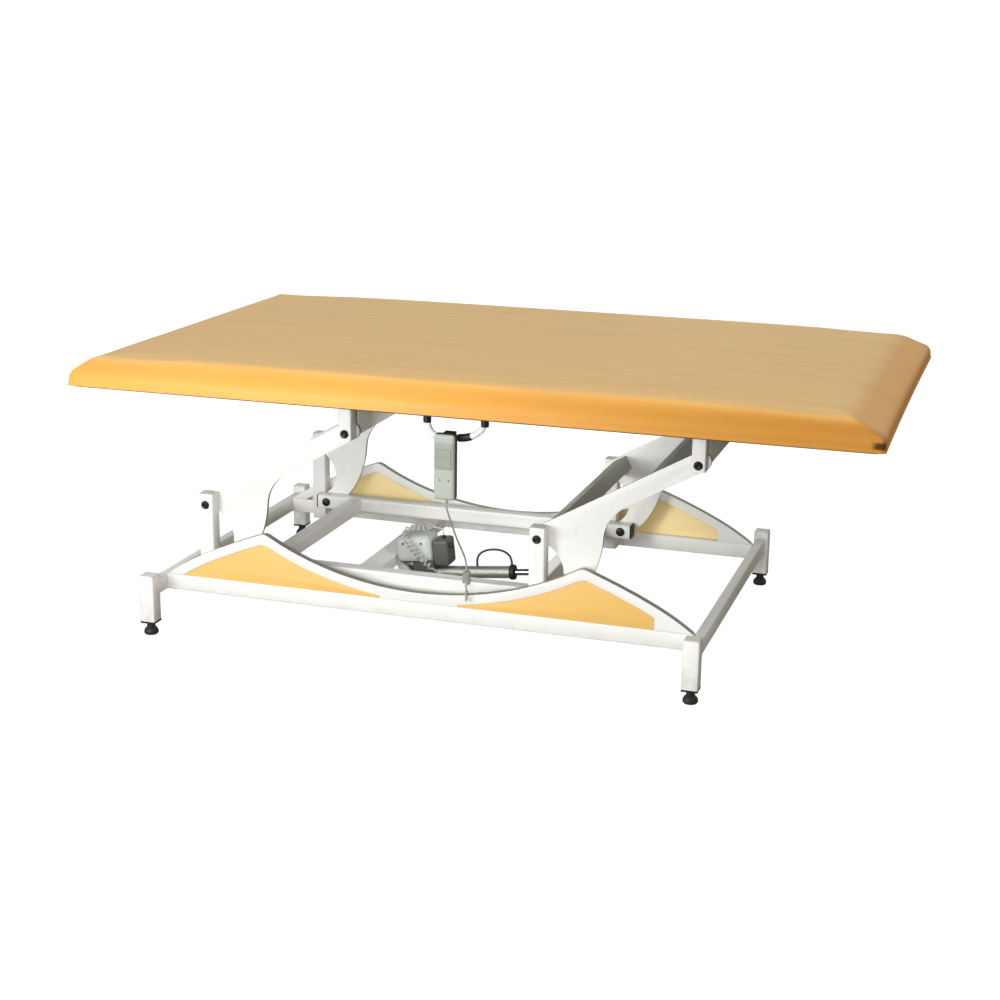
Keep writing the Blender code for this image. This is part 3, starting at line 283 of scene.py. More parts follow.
class Wire:
    """A shader socket whose Python operators add Math nodes."""

    def __init__(self, graph: "Graph", socket: bpy.types.NodeSocket) -> None:
        """Keep the socket and the graph that it belongs to."""
        self.graph = graph
        self.socket = socket

    def _math(self, operation: str, first: "Wire | float", second: "Wire | float" = 0.0) -> "Wire":
        """A Math node of one operation on two values."""
        return self.graph.node("ShaderNodeMath", {"operation": operation}, {0: first, 1: second})

    def __add__(self, other: "Wire | float") -> "Wire":
        """Sum."""
        return self._math("ADD", self, other)

    def __radd__(self, other: float) -> "Wire":
        """Sum with the number first."""
        return self._math("ADD", other, self)

    def __sub__(self, other: "Wire | float") -> "Wire":
        """Difference."""
        return self._math("SUBTRACT", self, other)

    def __rsub__(self, other: float) -> "Wire":
        """Difference with the number first."""
        return self._math("SUBTRACT", other, self)

    def __mul__(self, other: "Wire | float") -> "Wire":
        """Product."""
        return self._math("MULTIPLY", self, other)

    def __rmul__(self, other: float) -> "Wire":
        """Product with the number first."""
        return self._math("MULTIPLY", other, self)

    def __abs__(self) -> "Wire":
        """Size without its sign."""
        return self._math("ABSOLUTE", self)

    def rise(self, low: float, high: float) -> "Wire":
        """A smooth step from 0 at low to 1 at high.

        Args:
            low: Value at which the step starts.
            high: Value at which the step ends; it may be the smaller one.

        Returns:
            The step as a value from 0 to 1.
        """
        if low > high:
            return 1.0 - self.rise(high, low)
        return self.graph.node(
            "ShaderNodeMapRange", {"interpolation_type": "SMOOTHSTEP"}, {0: self, 1: low, 2: high}
        )


class Graph:
    """A node tree and the shader that its nodes feed."""

    def __init__(self, owner: "bpy.types.Material | bpy.types.World", shader: str) -> None:
        """Start a tree.

        Args:
            owner: The material or the room that the tree belongs to.
            shader: Name of the shader node that its nodes feed.
        """
        owner.use_nodes = True
        self.tree = owner.node_tree
        self.shader = self.tree.nodes[shader]

    def node(
        self,
        kind: str,
        settings: dict[str, object] | None = None,
        inputs: dict[int | str, object] | None = None,
        output: int | str = 0,
    ) -> Wire:
        """Add a node.

        Args:
            kind: The node's type name.
            settings: Properties that are set before its sockets.
            inputs: Values or wires by socket number or name.
            output: Which output is handed back.

        Returns:
            That output as a wire.
        """
        made = self.tree.nodes.new(kind)
        for key, value in (settings or {}).items():
            setattr(made, key, value)
        for key, value in (inputs or {}).items():
            if isinstance(value, Wire):
                self.tree.links.new(value.socket, made.inputs[key])
            else:
                made.inputs[key].default_value = value
        return Wire(self, made.outputs[output])

    def feed(self, socket: str, value: "Wire | float | Colour") -> None:
        """Set or link one input of the shader.

        Args:
            socket: The input's name.
            value: A wire, or the same number or colour all over.
        """
        if isinstance(value, Wire):
            self.tree.links.new(value.socket, self.shader.inputs[socket])
        elif isinstance(value, tuple):
            self.shader.inputs[socket].default_value = (*value, 1.0)
        else:
            self.shader.inputs[socket].default_value = value

    def place(self) -> Wire:
        """Object coordinates, which are the frame's own metres."""
        return self.node("ShaderNodeTexCoord", output="Object")

    def axis(self, name: str) -> Wire:
        """One Object coordinate, by the name X, Y or Z."""
        return self.node("ShaderNodeSeparateXYZ", None, {0: self.place()}, name)

    def attribute(self, name: str) -> Wire:
        """A value that the mesh carries."""
        return self.node("ShaderNodeAttribute", {"attribute_name": name}, output="Fac")

    def stretched(self, scale: Triple) -> Wire:
        """Object coordinates scaled along each axis."""
        return self.node("ShaderNodeMapping", None, {"Vector": self.place(), "Scale": scale})

    def noise(self, scale: float, detail: float = 3.0, stretch: Triple = EVEN) -> Wire:
        """Soft noise from 0 to 1 with a size in features per metre."""
        inputs = {"Vector": self.stretched(stretch), "Scale": scale, "Detail": detail}
        return self.node("ShaderNodeTexNoise", None, inputs)

    def cells(self, scale: float, stretch: Triple = EVEN) -> Wire:
        """Distance pattern of small cells with a size in cells per metre."""
        inputs = {"Vector": self.stretched(stretch), "Scale": scale}
        return self.node("ShaderNodeTexVoronoi", None, inputs, "Distance")

    def mix(self, mask: "Wire | float", first: "Wire | Colour", second: "Wire | Colour") -> Wire:
        """A colour between two colours."""
        pair = [c if isinstance(c, Wire) else (*c, 1.0) for c in (first, second)]
        return self.node("ShaderNodeMix", {"data_type": "RGBA"}, {0: mask, 6: pair[0], 7: pair[1]}, 2)

    def bump(self, height: Wire, depth: float, strength: float) -> None:
        """Raise the surface by a height pattern, a depth in metres at its full height."""
        inputs = {"Strength": strength, "Distance": depth, "Height": height}
        self.feed("Normal", self.node("ShaderNodeBump", None, inputs, "Normal"))


MATERIALS: dict[str, bpy.types.Material] = {}


@dataclass(frozen=True)
class Finish:
    """A surface of one kind, and the record's slot that it belongs to."""

    name: str
    slot: str
    colour: Colour
    roughness: float

    def material(self) -> bpy.types.Material:
        """Make the finish's material the first time that it is asked for.

        Returns:
            The material, the same one each time.
        """
        if self.name not in MATERIALS:
            made = bpy.data.materials.new(self.name)
            graph = Graph(made, "Principled BSDF")
            graph.feed("Roughness", self.roughness)
            self.dress(graph)
            MATERIALS[self.name] = made
        return MATERIALS[self.name]

    def dress(self, graph: Graph) -> None:
        """Give the surface its colour; kinds of finish add to it."""
        graph.feed("Base Color", self.colour)

    def shade(self, amount: float) -> Colour:
        """The finish's colour made darker or lighter by a factor."""
        return tuple(c * amount for c in self.colour)


@dataclass(frozen=True)
class PaintFinish(Finish):
    """Powder coat on steel: orange peel, soft tone changes, scuffs, painted shade on plate edges and floor dust."""

    peel: float = 420.0
    # painted shade: the olive grey that the plates' edge faces darken towards
    edge: Colour = srgb(122, 119, 104)
    dusty: Colour = srgb(150, 142, 126)
    scuffed: Colour = srgb(120, 116, 108)

    def dress(self, graph: Graph) -> None:
        """Tone, painted shade on plate edges, scuffs, dust and peel.

        Args:
            graph: The material's nodes.
        """
        tone = graph.noise(3.5, 3.0)
        dust = graph.axis("Z").rise(0.16, 0.03) * graph.noise(26.0, 4.0).rise(0.38, 0.70)
        scuff = graph.noise(70.0, 5.0, (1.0, 1.0, 0.35)).rise(0.67, 0.76)
        # painted shade: the plates' edge faces darken towards olive grey
        cut = graph.attribute("cut_edge") * (0.72 + 0.20 * graph.noise(24.0, 4.0))
        body = graph.mix(cut, graph.mix(tone, self.shade(0.955), self.colour), self.edge)
        soiled = graph.mix(dust * 0.30, body, self.dusty)
        graph.feed("Base Color", graph.mix(scuff * 0.16, soiled, self.scuffed))
        graph.feed("Roughness", self.roughness + 0.10 * graph.noise(48.0) + 0.12 * scuff)
        graph.feed("Coat Weight", 0.12)
        graph.feed("Coat Roughness", 0.22)
        graph.bump(graph.noise(self.peel, 2.0) + 0.25 * graph.noise(60.0), 0.00022, 0.55)


@dataclass(frozen=True)
class VinylFinish(Finish):
    """Stretched upholstery vinyl: pebbled grain, faint lines along the length, painted sheen and painted shade."""

    # painted sheen: the tan that the upper face pales towards
    worn: Colour = (0.6, 0.45, 0.25)
    # painted shade: the darker orange that the front lip falls to towards the right
    deep: Colour = (0.5, 0.2, 0.04)

    def dress(self, graph: Graph) -> None:
        """Grain, drawn lines, painted sheen on the upper face, painted shade on the lip and in the tucks at the right
        corners.

        Args:
            graph: The material's nodes.
        """
        grain = graph.cells(640.0) * 0.7 + graph.noise(1500.0, 2.0) * 0.3
        drawn = graph.noise(9.0, 4.0, (0.30, 4.0, 1.0))
        fine = graph.noise(26.0, 4.0, (0.16, 3.0, 1.0))
        cloud = graph.noise(2.2, 3.0)
        upper = graph.attribute("upper_face")
        # painted shade: the front lip darkens towards the right end
        lip = graph.axis("Y").rise(-0.53, -0.585) * graph.axis("X").rise(-0.35, 0.95)
        deep = graph.mix(lip * 0.72, self.colour, self.deep)
        # painted sheen: the upper face and part of the right slope pale towards tan
        sheened = graph.mix(upper * (0.74 + 0.24 * cloud), deep, self.worn)
        lines = graph.mix(drawn.rise(0.42, 0.74) * 0.16, sheened, self.shade(0.55))
        streaks = graph.mix(fine.rise(0.50, 0.78) * upper * 0.10, lines, self.shade(0.40))
        low = graph.axis("Z") + 0.008 * graph.noise(70.0)
        # painted shade: dark in the folds of the tucks at the lower right corners
        corner = (graph.axis("X") + 0.010 * graph.noise(80.0)).rise(0.974, 0.990)
        corner = corner * abs(graph.axis("Y")).rise(0.578, 0.592)
        tuck_shade = corner * low.rise(0.684, 0.690) * low.rise(0.706, 0.699)
        tuck_shaded = graph.mix(tuck_shade * 0.95, streaks, self.shade(0.05))
        graph.feed("Base Color", graph.mix(grain.rise(0.15, 0.55) * 0.06, tuck_shaded, self.shade(0.45)))
        graph.feed("Roughness", self.roughness + 0.10 * cloud - 0.05 * drawn)
        graph.feed("Specular IOR Level", 0.28)
        graph.feed("Sheen Weight", 0.04)
        graph.bump(grain + 1.6 * drawn, 0.00026, 0.5)


@dataclass(frozen=True)
class LaminateFinish(Finish):
    """Thin coloured laminate: even colour, fine moulded grain, and painted light that makes the rear panels paler."""

    # painted light: the paler colour of the panels on the rear side
    backing: Colour = (0.9, 0.7, 0.4)

    def dress(self, graph: Graph) -> None:
        """Tone, grain and the painted light on the rear panels.

        Args:
            graph: The material's nodes.
        """
        face = graph.mix(graph.noise(6.0, 3.0), self.shade(0.95), self.colour)
        # painted light: the rear side's panels turn paler
        graph.feed("Base Color", graph.mix(graph.axis("Y").rise(-0.1, 0.1), face, self.backing))
        graph.feed("Roughness", self.roughness + 0.08 * graph.noise(40.0))
        graph.bump(graph.noise(900.0, 2.0), 0.00010, 0.5)


@dataclass(frozen=True)
class PlasticFinish(Finish):
    """Moulded plastic with a spark-eroded grain and handling marks."""

    grain: float = 1100.0
    depth: float = 0.00012
    handled: float = 0.12

    def dress(self, graph: Graph) -> None:
        """Tone, handling marks and grain.

        Args:
            graph: The material's nodes.
        """
        tone = graph.noise(18.0, 4.0)
        marks = graph.noise(90.0, 5.0).rise(0.60, 0.74)
        body = graph.mix(tone, self.shade(0.90), self.shade(1.06))
        graph.feed("Base Color", graph.mix(marks * self.handled, body, self.shade(0.55)))
        graph.feed("Roughness", self.roughness + 0.10 * tone - 0.10 * marks)
        graph.bump(graph.cells(self.grain), self.depth, 0.6)


@dataclass(frozen=True)
class HandsetFinish(PlasticFinish):
    """Handset plastic: a darker zone round the buttons, and a dark back shell behind a seam."""

    zone: tuple[float, float] = (0.541, 0.607)
    face: float = -0.577
    seam: float = -0.5735
    back: Colour = (0.070, 0.074, 0.066)

    def dress(self, graph: Graph) -> None:
        """Zone, seam, tone and grain.

        Args:
            graph: The material's nodes.
        """
        low, high = self.zone
        tone = graph.noise(18.0, 4.0)
        height = graph.axis("Z")
        depth = graph.axis("Y")
        zone = height.rise(low, low + 0.006) * height.rise(high + 0.003, high)
        zone = zone * depth.rise(self.face + 0.003, self.face)
        line = abs(depth - self.seam).rise(0.0007, 0.0003)
        body = graph.mix(tone, self.shade(0.94), self.shade(1.04))
        marked = graph.mix(zone * 0.60, body, self.shade(0.62))
        halves = graph.mix(depth.rise(self.seam, self.seam + 0.0006), marked, self.back)
        graph.feed("Base Color", graph.mix(line * 0.85, halves, self.shade(0.05)))
        graph.feed("Roughness", self.roughness + 0.10 * tone)
        graph.bump(graph.cells(self.grain) * 0.5 - line * 3.0, self.depth, 0.6)


@dataclass(frozen=True)
class MotorFinish(PlasticFinish):
    """Motor plastic: a pale upper shell over a dark cast gear case, with a seam between them."""

    parting: float = 0.128
    parting_slope: float = 0.107
    parting_x: float = -0.29
    case: Colour = (0.10, 0.105, 0.10)
    groove: Colour = (0.02, 0.02, 0.02)

    def dress(self, graph: Graph) -> None:
        """Shell, case, seam, oil marks and grain.

        Args:
            graph: The material's nodes.
        """
        tone = graph.noise(18.0, 4.0)
        marks = graph.noise(60.0, 5.0).rise(0.56, 0.72)
        level = graph.axis("Z") - self.parting_slope * (graph.axis("X") - self.parting_x)
        line = abs(level - self.parting).rise(0.0016, 0.0006)
        body = graph.mix(tone, self.shade(0.90), self.shade(1.06))
        soiled = graph.mix(marks * 0.20, body, self.shade(0.45))
        split = graph.mix(level.rise(self.parting, self.parting - 0.002), soiled, self.case)
        graph.feed("Base Color", graph.mix(line * 0.8, split, self.groove))
        graph.feed("Roughness", self.roughness + 0.10 * tone - 0.08 * marks)
        graph.bump(graph.cells(self.grain) - line * 4.0, self.depth, 0.6)


@dataclass(frozen=True)
class MetalFinish(Finish):
    """Bare metal with fine lines along one axis of the piece."""

    lines: Triple = (0.02, 1.0, 1.0)
    depth: float = 0.00004

    def dress(self, graph: Graph) -> None:
        """Brushed or ground lines and a faint haze.

        Args:
            graph: The material's nodes.
        """
        line = graph.noise(2600.0, 2.0, self.lines)
        haze = graph.noise(30.0, 4.0)
        graph.feed("Metallic", 1.0)
        graph.feed("Base Color", graph.mix(haze, self.shade(0.88), self.colour))
        graph.feed("Roughness", self.roughness + 0.10 * line + 0.06 * haze)
        graph.bump(line, self.depth, 0.5)


@dataclass(frozen=True)
class BoardFinish(Finish):
    """Dark board: pressed flakes under a thin stain."""

    def dress(self, graph: Graph) -> None:
        """Flakes and stain.

        Args:
            graph: The material's nodes.
        """
        flakes = graph.cells(140.0, (0.45, 1.0, 1.0))
        graph.feed("Base Color", graph.mix(flakes.rise(0.10, 0.75), self.shade(1.5), self.shade(0.75)))
        graph.feed("Roughness", self.roughness + 0.12 * graph.noise(60.0))
        graph.bump(flakes + graph.noise(700.0), 0.00030, 0.5)


@dataclass(frozen=True)
class FloorFinish(Finish):
    """A pale floor lit through from below, so that shadows on it stay faint."""

    glow: float = 0.92

    def dress(self, graph: Graph) -> None:
        """Plain colour and glow.

        Args:
            graph: The material's nodes.
        """
        graph.feed("Base Color", self.colour)
        graph.feed("Emission Color", EVEN)
        graph.feed("Emission Strength", self.glow)


PALE_FLOOR = FloorFinish("pale_floor", "", (0.22, 0.22, 0.215), 0.8)
WHITE_PAINT = PaintFinish("white_powder_coat", "white_paint", (0.89, 0.89, 0.865), 0.34)
# painted shade: a grey coat that stands for the shade on the cross tubes under the top
SHADED_CROSS_PAINT = PaintFinish("grey_powder_coat", "white_paint", (0.42, 0.42, 0.36), 0.40)
# the vinyl's sheen colour is a painted sheen, and its lip colour is painted shade
VINYL = VinylFinish(
    "honey_vinyl", "vinyl_cover", (0.85, 0.41, 0.080), 0.40,
    worn=(0.87, 0.580, 0.230), deep=(0.42, 0.165, 0.010),
)
# the laminate's rear colour is painted light on the rear panels
YELLOW_PANEL = LaminateFinish(
    "yellow_laminate", "yellow_panel", (0.84, 0.52, 0.150), 0.42, backing=(1.0, 0.80, 0.40)
)
BOARD = BoardFinish("stained_board", "board", (0.050, 0.036, 0.026), 0.62)
BLACK_STEEL = PlasticFinish(
    "blackened_steel", "black_hardware", (0.012, 0.012, 0.013), 0.34, grain=700.0, depth=0.00008
)
FOOT_RUBBER = PlasticFinish("foot_rubber", "foot_plastic", (0.016, 0.016, 0.017), 0.52, grain=800.0)
WHITE_PLASTIC = PlasticFinish(
    "white_cap_plastic", "white_paint", (0.80, 0.80, 0.76), 0.40, depth=0.00006, handled=0.06
)
BLACK_PLASTIC = PlasticFinish("black_control_plastic", "black_plastic", (0.018, 0.019, 0.020), 0.46)
MOTOR_GREY = MotorFinish("motor_grey", "grey_plastic", (0.46, 0.49, 0.455), 0.46, grain=900.0)
CAP_GREY = PlasticFinish("cap_grey", "black_plastic", (0.078, 0.080, 0.072), 0.42)
HANDSET_GREY = HandsetFinish(
    "handset_grey", "handset_plastic", (0.41, 0.455, 0.405), 0.44, grain=1300.0, depth=0.00008, handled=0.05
)
BUTTON_GREY = PlasticFinish(
    "button_grey", "button_plastic", (0.30, 0.335, 0.285), 0.52, grain=1300.0, depth=0.00006, handled=0.05
)
TUBE_ALLOY = MetalFinish("drawn_alloy", "tube_alloy", (0.84, 0.845, 0.80), 0.50)
ROD_CHROME = MetalFinish(
    "ground_chrome", "rod_steel", (0.80, 0.81, 0.80), 0.10, lines=(1.0, 0.05, 0.05), depth=0.00002
)
CORD_GREY = PlasticFinish("cord_grey", "cord_cover", (0.41, 0.415, 0.370), 0.48, grain=1500.0, depth=0.00005)
LEAD_BLACK = PlasticFinish(
    "lead_black", "lead_cover", (0.028, 0.028, 0.030), 0.45, grain=1500.0, depth=0.00005
)


def dress(node: str, finish: Finish) -> None:
    """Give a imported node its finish.

    Args:
        node: The node.
        finish: Its surface.
    """
    mesh = frame["nodes"][node].data
    mesh.materials.clear()
    mesh.materials.append(finish.material())
    LOG.info("dressed %s in %s", node, finish.name)


def made_object(name: str, bm: bmesh.types.BMesh, finish: Finish, angle: float = 32.0) -> bpy.types.Object:
    """Turn a bmesh into an object of one finish.

    Args:
        name: The piece's name.
        bm: Its shape in the frame's metres; it is freed.
        finish: Its surface.
        angle: Edges sharper than this many degrees stay sharp.

    Returns:
        The object, at the origin and unturned.
    """
    bmesh.ops.remove_doubles(bm, verts=bm.verts, dist=2e-6)
    bmesh.ops.recalc_face_normals(bm, faces=bm.faces)
    mesh = bpy.data.meshes.new(name)
    bm.to_mesh(mesh)
    bm.free()
    for polygon in mesh.polygons:
        polygon.use_smooth = True
    mesh.set_sharp_from_angle(angle=math.radians(angle))
    mesh.materials.append(finish.material())
    obj = bpy.data.objects.new(name, mesh)
    bpy.context.scene.collection.objects.link(obj)
    return obj


def settle(obj: bpy.types.Object, body: Body, finish: Finish, *nodes: str) -> None:
    """Let a piece ride on a body, take a slot and stand for nodes.

    Args:
        obj: The piece.
        body: The body that carries it.
        finish: The finish whose slot it takes.
        nodes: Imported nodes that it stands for.
    """
    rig.ride(obj, body.value)
    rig.slot(obj, finish.slot)
    if nodes:
        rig.replaces(obj, *nodes)
    LOG.info("piece %s rides on %s", obj.name, body.value)


def fitted(
    name: str, bm: bmesh.types.BMesh, place: Matrix, body: Body, finish: Finish, *nodes: str
) -> None:
    """Stand a shape in its place as a piece that rides on a body.

    Args:
        name: The piece's name.
        bm: Its shape about its own origin; it is freed.
        place: Where it stands in the frame.
        body: The body that carries it.
        finish: Its surface.
        nodes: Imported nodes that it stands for.
    """
    bmesh.ops.transform(bm, matrix=place, verts=bm.verts)
    settle(made_object(name, bm, finish), body, finish, *nodes)


def softened(node: str, body: Body, finish: Finish, width: float, plate: bool = False) -> None:
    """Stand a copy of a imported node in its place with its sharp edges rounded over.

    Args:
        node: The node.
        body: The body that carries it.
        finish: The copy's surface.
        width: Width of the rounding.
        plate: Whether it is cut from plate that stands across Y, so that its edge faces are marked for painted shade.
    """
    source = frame["nodes"][node]
    bm = bmesh.new()
    bm.from_mesh(source.data)
    bmesh.ops.transform(bm, matrix=source.matrix_world, verts=bm.verts)
    bmesh.ops.remove_doubles(bm, verts=bm.verts, dist=1e-5)
    bmesh.ops.dissolve_limit(bm, angle_limit=FLAT_ANGLE, verts=bm.verts, edges=bm.edges)
    sharp = [e for e in bm.edges if e.is_manifold and e.calc_face_angle(0.0) > SHARP_ANGLE]
    bmesh.ops.bevel(
        bm, geom=sharp, offset=width, segments=3, profile=0.5, affect="EDGES", clamp_overlap=True, material=-1
    )
    obj = made_object(f"{node}_softened", bm, finish)
    settle(obj, body, finish, node)
    # the plate's edge faces are marked for the paint's painted shade
    if plate:
        marks = obj.data.attributes.new("cut_edge", "FLOAT", "FACE")
        for polygon, mark in zip(obj.data.polygons, marks.data):
            mark.value = float(abs(polygon.normal.y) < SHADED_EDGE_NORMAL)


def turned(profile: Profile, steps: int) -> bmesh.types.BMesh:
    """Spin a profile about Z.

    Args:
        profile: Radius and height of each point in order.
        steps: Number of faces round the axis.

    Returns:
        The shape.
    """
    bm = bmesh.new()
    line = [bm.verts.new((r, 0.0, z)) for r, z in profile]
    edges = [bm.edges.new(pair) for pair in zip(line, line[1:])]
    bmesh.ops.spin(
        bm, geom=line + edges, cent=(0, 0, 0), axis=(0, 0, 1), dvec=(0, 0, 0),
        angle=2 * math.pi, steps=steps, use_merge=True,
    )
    bmesh.ops.remove_doubles(bm, verts=bm.verts, dist=1e-6)
    return bm


def six_sided(bm: bmesh.types.BMesh, radius: float) -> None:
    """Draw a turned shape's rings of one radius out to the flats of a hexagon about Z.

    Args:
        bm: The turned shape.
        radius: Radius of the rings, which becomes the half-width across the flats.
    """
    for v in bm.verts:
        if abs(v.co.xy.length - radius) < 1e-5:
            angle = math.atan2(v.co.y, v.co.x) % (math.pi / 3) - math.pi / 6
            v.co.xy = v.co.xy.normalized() * (radius / math.cos(angle))


def bezier(points: list[Vector], t: float) -> tuple[Vector, Vector]:
    """A place on a cubic curve and the direction there.

    Args:
        points: The curve's ends and its two handles in order.
        t: How far along the curve, from 0 to 1.

    Returns:
        The place and the unit direction.
    """
    a, b, c, d = points
    place = (1 - t) ** 3 * a + 3 * (1 - t) ** 2 * t * b + 3 * (1 - t) * t * t * c + t**3 * d
    heading = (1 - t) ** 2 * (b - a) + 2 * (1 - t) * t * (c - b) + t * t * (d - c)
    return place, heading.normalized()


def raised(geom: list[object]) -> list[bmesh.types.BMVert]:
    """The vertices among what an extrusion hands back."""
    return [v for v in geom if isinstance(v, bmesh.types.BMVert)]


def square_cap(width: float, depth: float, height: float, sink: float) -> bmesh.types.BMesh:
    """A cap for a square tube: a plate with rounded corners, a rounded rim and a slightly sunk middle.

    Args:
        width: Size along X.
        depth: Size along Y.
        height: Thickness, from Z 0 up.
        sink: How far the middle is sunk.

    Returns:
        The cap's mesh.
    """
    corner, rim_share, wall_share, step = 0.003, 0.4, 0.12, 0.0008
    bm = bmesh.new()
    bmesh.ops.create_grid(bm, x_segments=1, y_segments=1, size=0.5)
    bmesh.ops.scale(bm, vec=(width, depth, 1.0), verts=bm.verts)
    grown = bmesh.ops.extrude_face_region(bm, geom=bm.faces[:])["geom"]
    bmesh.ops.translate(bm, vec=(0, 0, height), verts=raised(grown))
    bmesh.ops.recalc_face_normals(bm, faces=bm.faces)
    upright = [e for e in bm.edges if abs(e.verts[0].co.z - e.verts[1].co.z) > height / 2]
    bmesh.ops.bevel(bm, geom=upright, offset=corner, segments=3, profile=0.5, affect="EDGES", material=-1)
    rim = [e for e in bm.edges if min(v.co.z for v in e.verts) > height * 0.9]
    offset = height * rim_share
    bmesh.ops.bevel(bm, geom=rim, offset=offset, segments=3, profile=0.5, affect="EDGES", material=-1)
    upper = max(bm.faces, key=lambda face: face.calc_center_median().z)
    bmesh.ops.inset_region(bm, faces=[upper], thickness=min(width, depth) * wall_share)
    bmesh.ops.inset_region(bm, faces=[upper], thickness=step, depth=-sink)
    return bm


def smooth_step(value: float, low: float, high: float) -> float:
    """A smooth rise from 0 at low to 1 at high."""
    share = min(1.0, max(0.0, (value - low) / (high - low)))
    return share * share * (3 - 2 * share)


def boot_profile(height: float, foot: float, tip: float) -> Profile:
    """Profile of a tapered strain relief with rings, round the handset's cord.

    Args:
        height: Its height above the housing.
        foot: Radius at the housing.
        tip: Radius at the free end.

    Returns:
        Radius and height of each point, closed round the cord's hole.
    """
    hole, rings, flange, groove = 0.0024, 4, 0.0010, 0.0005
    rim, lower_edge, upper_edge, band = 0.0008, 0.0003, 0.0004, (0.25, 0.95)
    points = [(hole, 0.0), (foot + rim, 0.0), (foot + rim, flange)]
    for i in range(rings):
        low, high = (flange + (height - flange) * (i + k) / rings for k in band)
        size = foot + (tip - foot) * (i + 0.5) / rings
        points += [(size - groove, low - lower_edge), (size, low)]
        points += [(size, high - upper_edge), (size - groove, high)]
    return (*points, (hole, height), (hole, 0.0))


def facing(way: Vector) -> Euler:
    """The turn of a lamp that shines along a direction."""
    return way.to_track_quat("-Z", "Y").to_euler()


@dataclass(frozen=True)
class Panel:
    """A soft disk of light that faces a point."""

    name: str
    size: float
    power: float
    place: Triple
    target: Triple
    gloss: bool = False

    def build(self) -> None:
        """Hang the panel out of the camera's sight."""
        data = bpy.data.lights.new(self.name, "AREA")
        data.shape = "DISK"
        data.size = self.size
        data.energy = self.power
        lamp = bpy.data.objects.new(self.name, data)
        lamp.location = self.place
        lamp.rotation_euler = facing(Vector(self.target) - Vector(self.place))
        lamp.visible_camera = False
        lamp.visible_glossy = self.gloss
        bpy.context.scene.collection.objects.link(lamp)


@dataclass
class Studio:
    """Camera, floor and lights."""

    eye: Triple = (1.334, -4.383, 1.586)
    azimuth: float = 17.62
    elevation: float = 15.45
    roll: float = 0.78
    lens: float = 63.67
    sensor: float = 36.0
    clip_end: float = 2000.0
    floor_half: float = 60.0
    wall_height: float = 40.0
    sun_power: float = 0.45
    sun_angle: float = 40.0
    sun_way: Triple = (0.40, 0.88, -0.22)
    room_below: Colour = (0.085, 0.080, 0.062)
    room_above: Colour = (0.66, 0.65, 0.61)
    room_right: Colour = (0.20, 0.175, 0.105)
    horizon: tuple[float, float] = (-0.12, 0.20)
    right_from: tuple[float, float] = (0.20, 0.80)
    right_under: tuple[float, float] = (0.40, 0.10)
    right_share: float = 0.85
    panels: tuple[Panel, ...] = (
        Panel("key_panel", 0.9, 22.0, (-0.95, -2.25, 0.80), (-0.35, -0.4, 0.5), gloss=True),
        Panel("fill_panel", 0.9, 50.0, (0.80, -3.9, 1.25), (0.1, 0.0, 0.4)),
        Panel("rear_panel", 0.9, 44.0, (-0.40, 4.2, 1.30), (0.0, 0.3, 0.4)),
        Panel("under_panel", 0.14, 1.15, (-0.05, -0.28, 0.39), (-0.10, 0.45, 0.22)),
    )

    def camera(self) -> None:
        """Place the camera where the photograph was taken from."""
        azimuth, elevation, roll = (math.radians(v) for v in (self.azimuth, self.elevation, self.roll))
        level = math.cos(elevation)
        right = Vector((math.cos(azimuth), math.sin(azimuth), 0))
        back = Vector((math.sin(azimuth) * level, -math.cos(azimuth) * level, math.sin(elevation)))
        up = back.cross(right)
        x = math.cos(roll) * right + math.sin(roll) * up
        y = math.cos(roll) * up - math.sin(roll) * right
        data = bpy.data.cameras.new("camera")
        data.lens = self.lens
        data.sensor_width = self.sensor
        data.clip_end = self.clip_end
        camera = bpy.data.objects.new("camera", data)
        camera.matrix_world = Matrix.Translation(self.eye) @ Matrix((x, y, back)).transposed().to_4x4()
        bpy.context.scene.collection.objects.link(camera)
        bpy.context.scene.camera = camera

    def floor(self) -> None:
        """A plain pale floor with a pale wall all round, far away."""
        bm = bmesh.new()
        bmesh.ops.create_grid(bm, x_segments=1, y_segments=1, size=self.floor_half)
        walls = bmesh.ops.extrude_edge_only(bm, edges=bm.edges[:])["geom"]
        bmesh.ops.translate(bm, vec=(0, 0, self.wall_height), verts=raised(walls))
        floor = made_object("floor", bm, PALE_FLOOR)
        floor.visible_diffuse = floor.visible_glossy = floor.visible_shadow = False
        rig.stage(floor)

    def sun(self) -> None:
        """A weak, low and very wide sun from the front left."""
        sun = bpy.data.lights.new("soft_sun", "SUN")
        sun.energy = self.sun_power
        sun.angle = math.radians(self.sun_angle)
        lamp = bpy.data.objects.new("soft_sun", sun)
        lamp.rotation_euler = facing(Vector(self.sun_way))
        bpy.context.scene.collection.objects.link(lamp)

    def room(self) -> None:
        """A pale room, dim towards the floor and at the lower right."""
        world = bpy.data.worlds.new("room")
        graph = Graph(world, "Background")
        way = graph.node("ShaderNodeTexCoord", output="Generated")
        aside, height = (graph.node("ShaderNodeSeparateXYZ", None, {0: way}, name) for name in "XZ")
        shell = graph.mix(height.rise(*self.horizon), self.room_below, self.room_above)
        low_right = aside.rise(*self.right_from) * height.rise(*self.right_under)
        graph.feed("Color", graph.mix(low_right * self.right_share, shell, self.room_right))
        bpy.context.scene.world = world
        bpy.context.scene.view_settings.view_transform = "Standard"

    def build(self) -> None:
        """Camera, floor and lights in order."""
        self.camera()
        self.floor()
        for panel in self.panels:
            panel.build()
        self.sun()
        self.room()


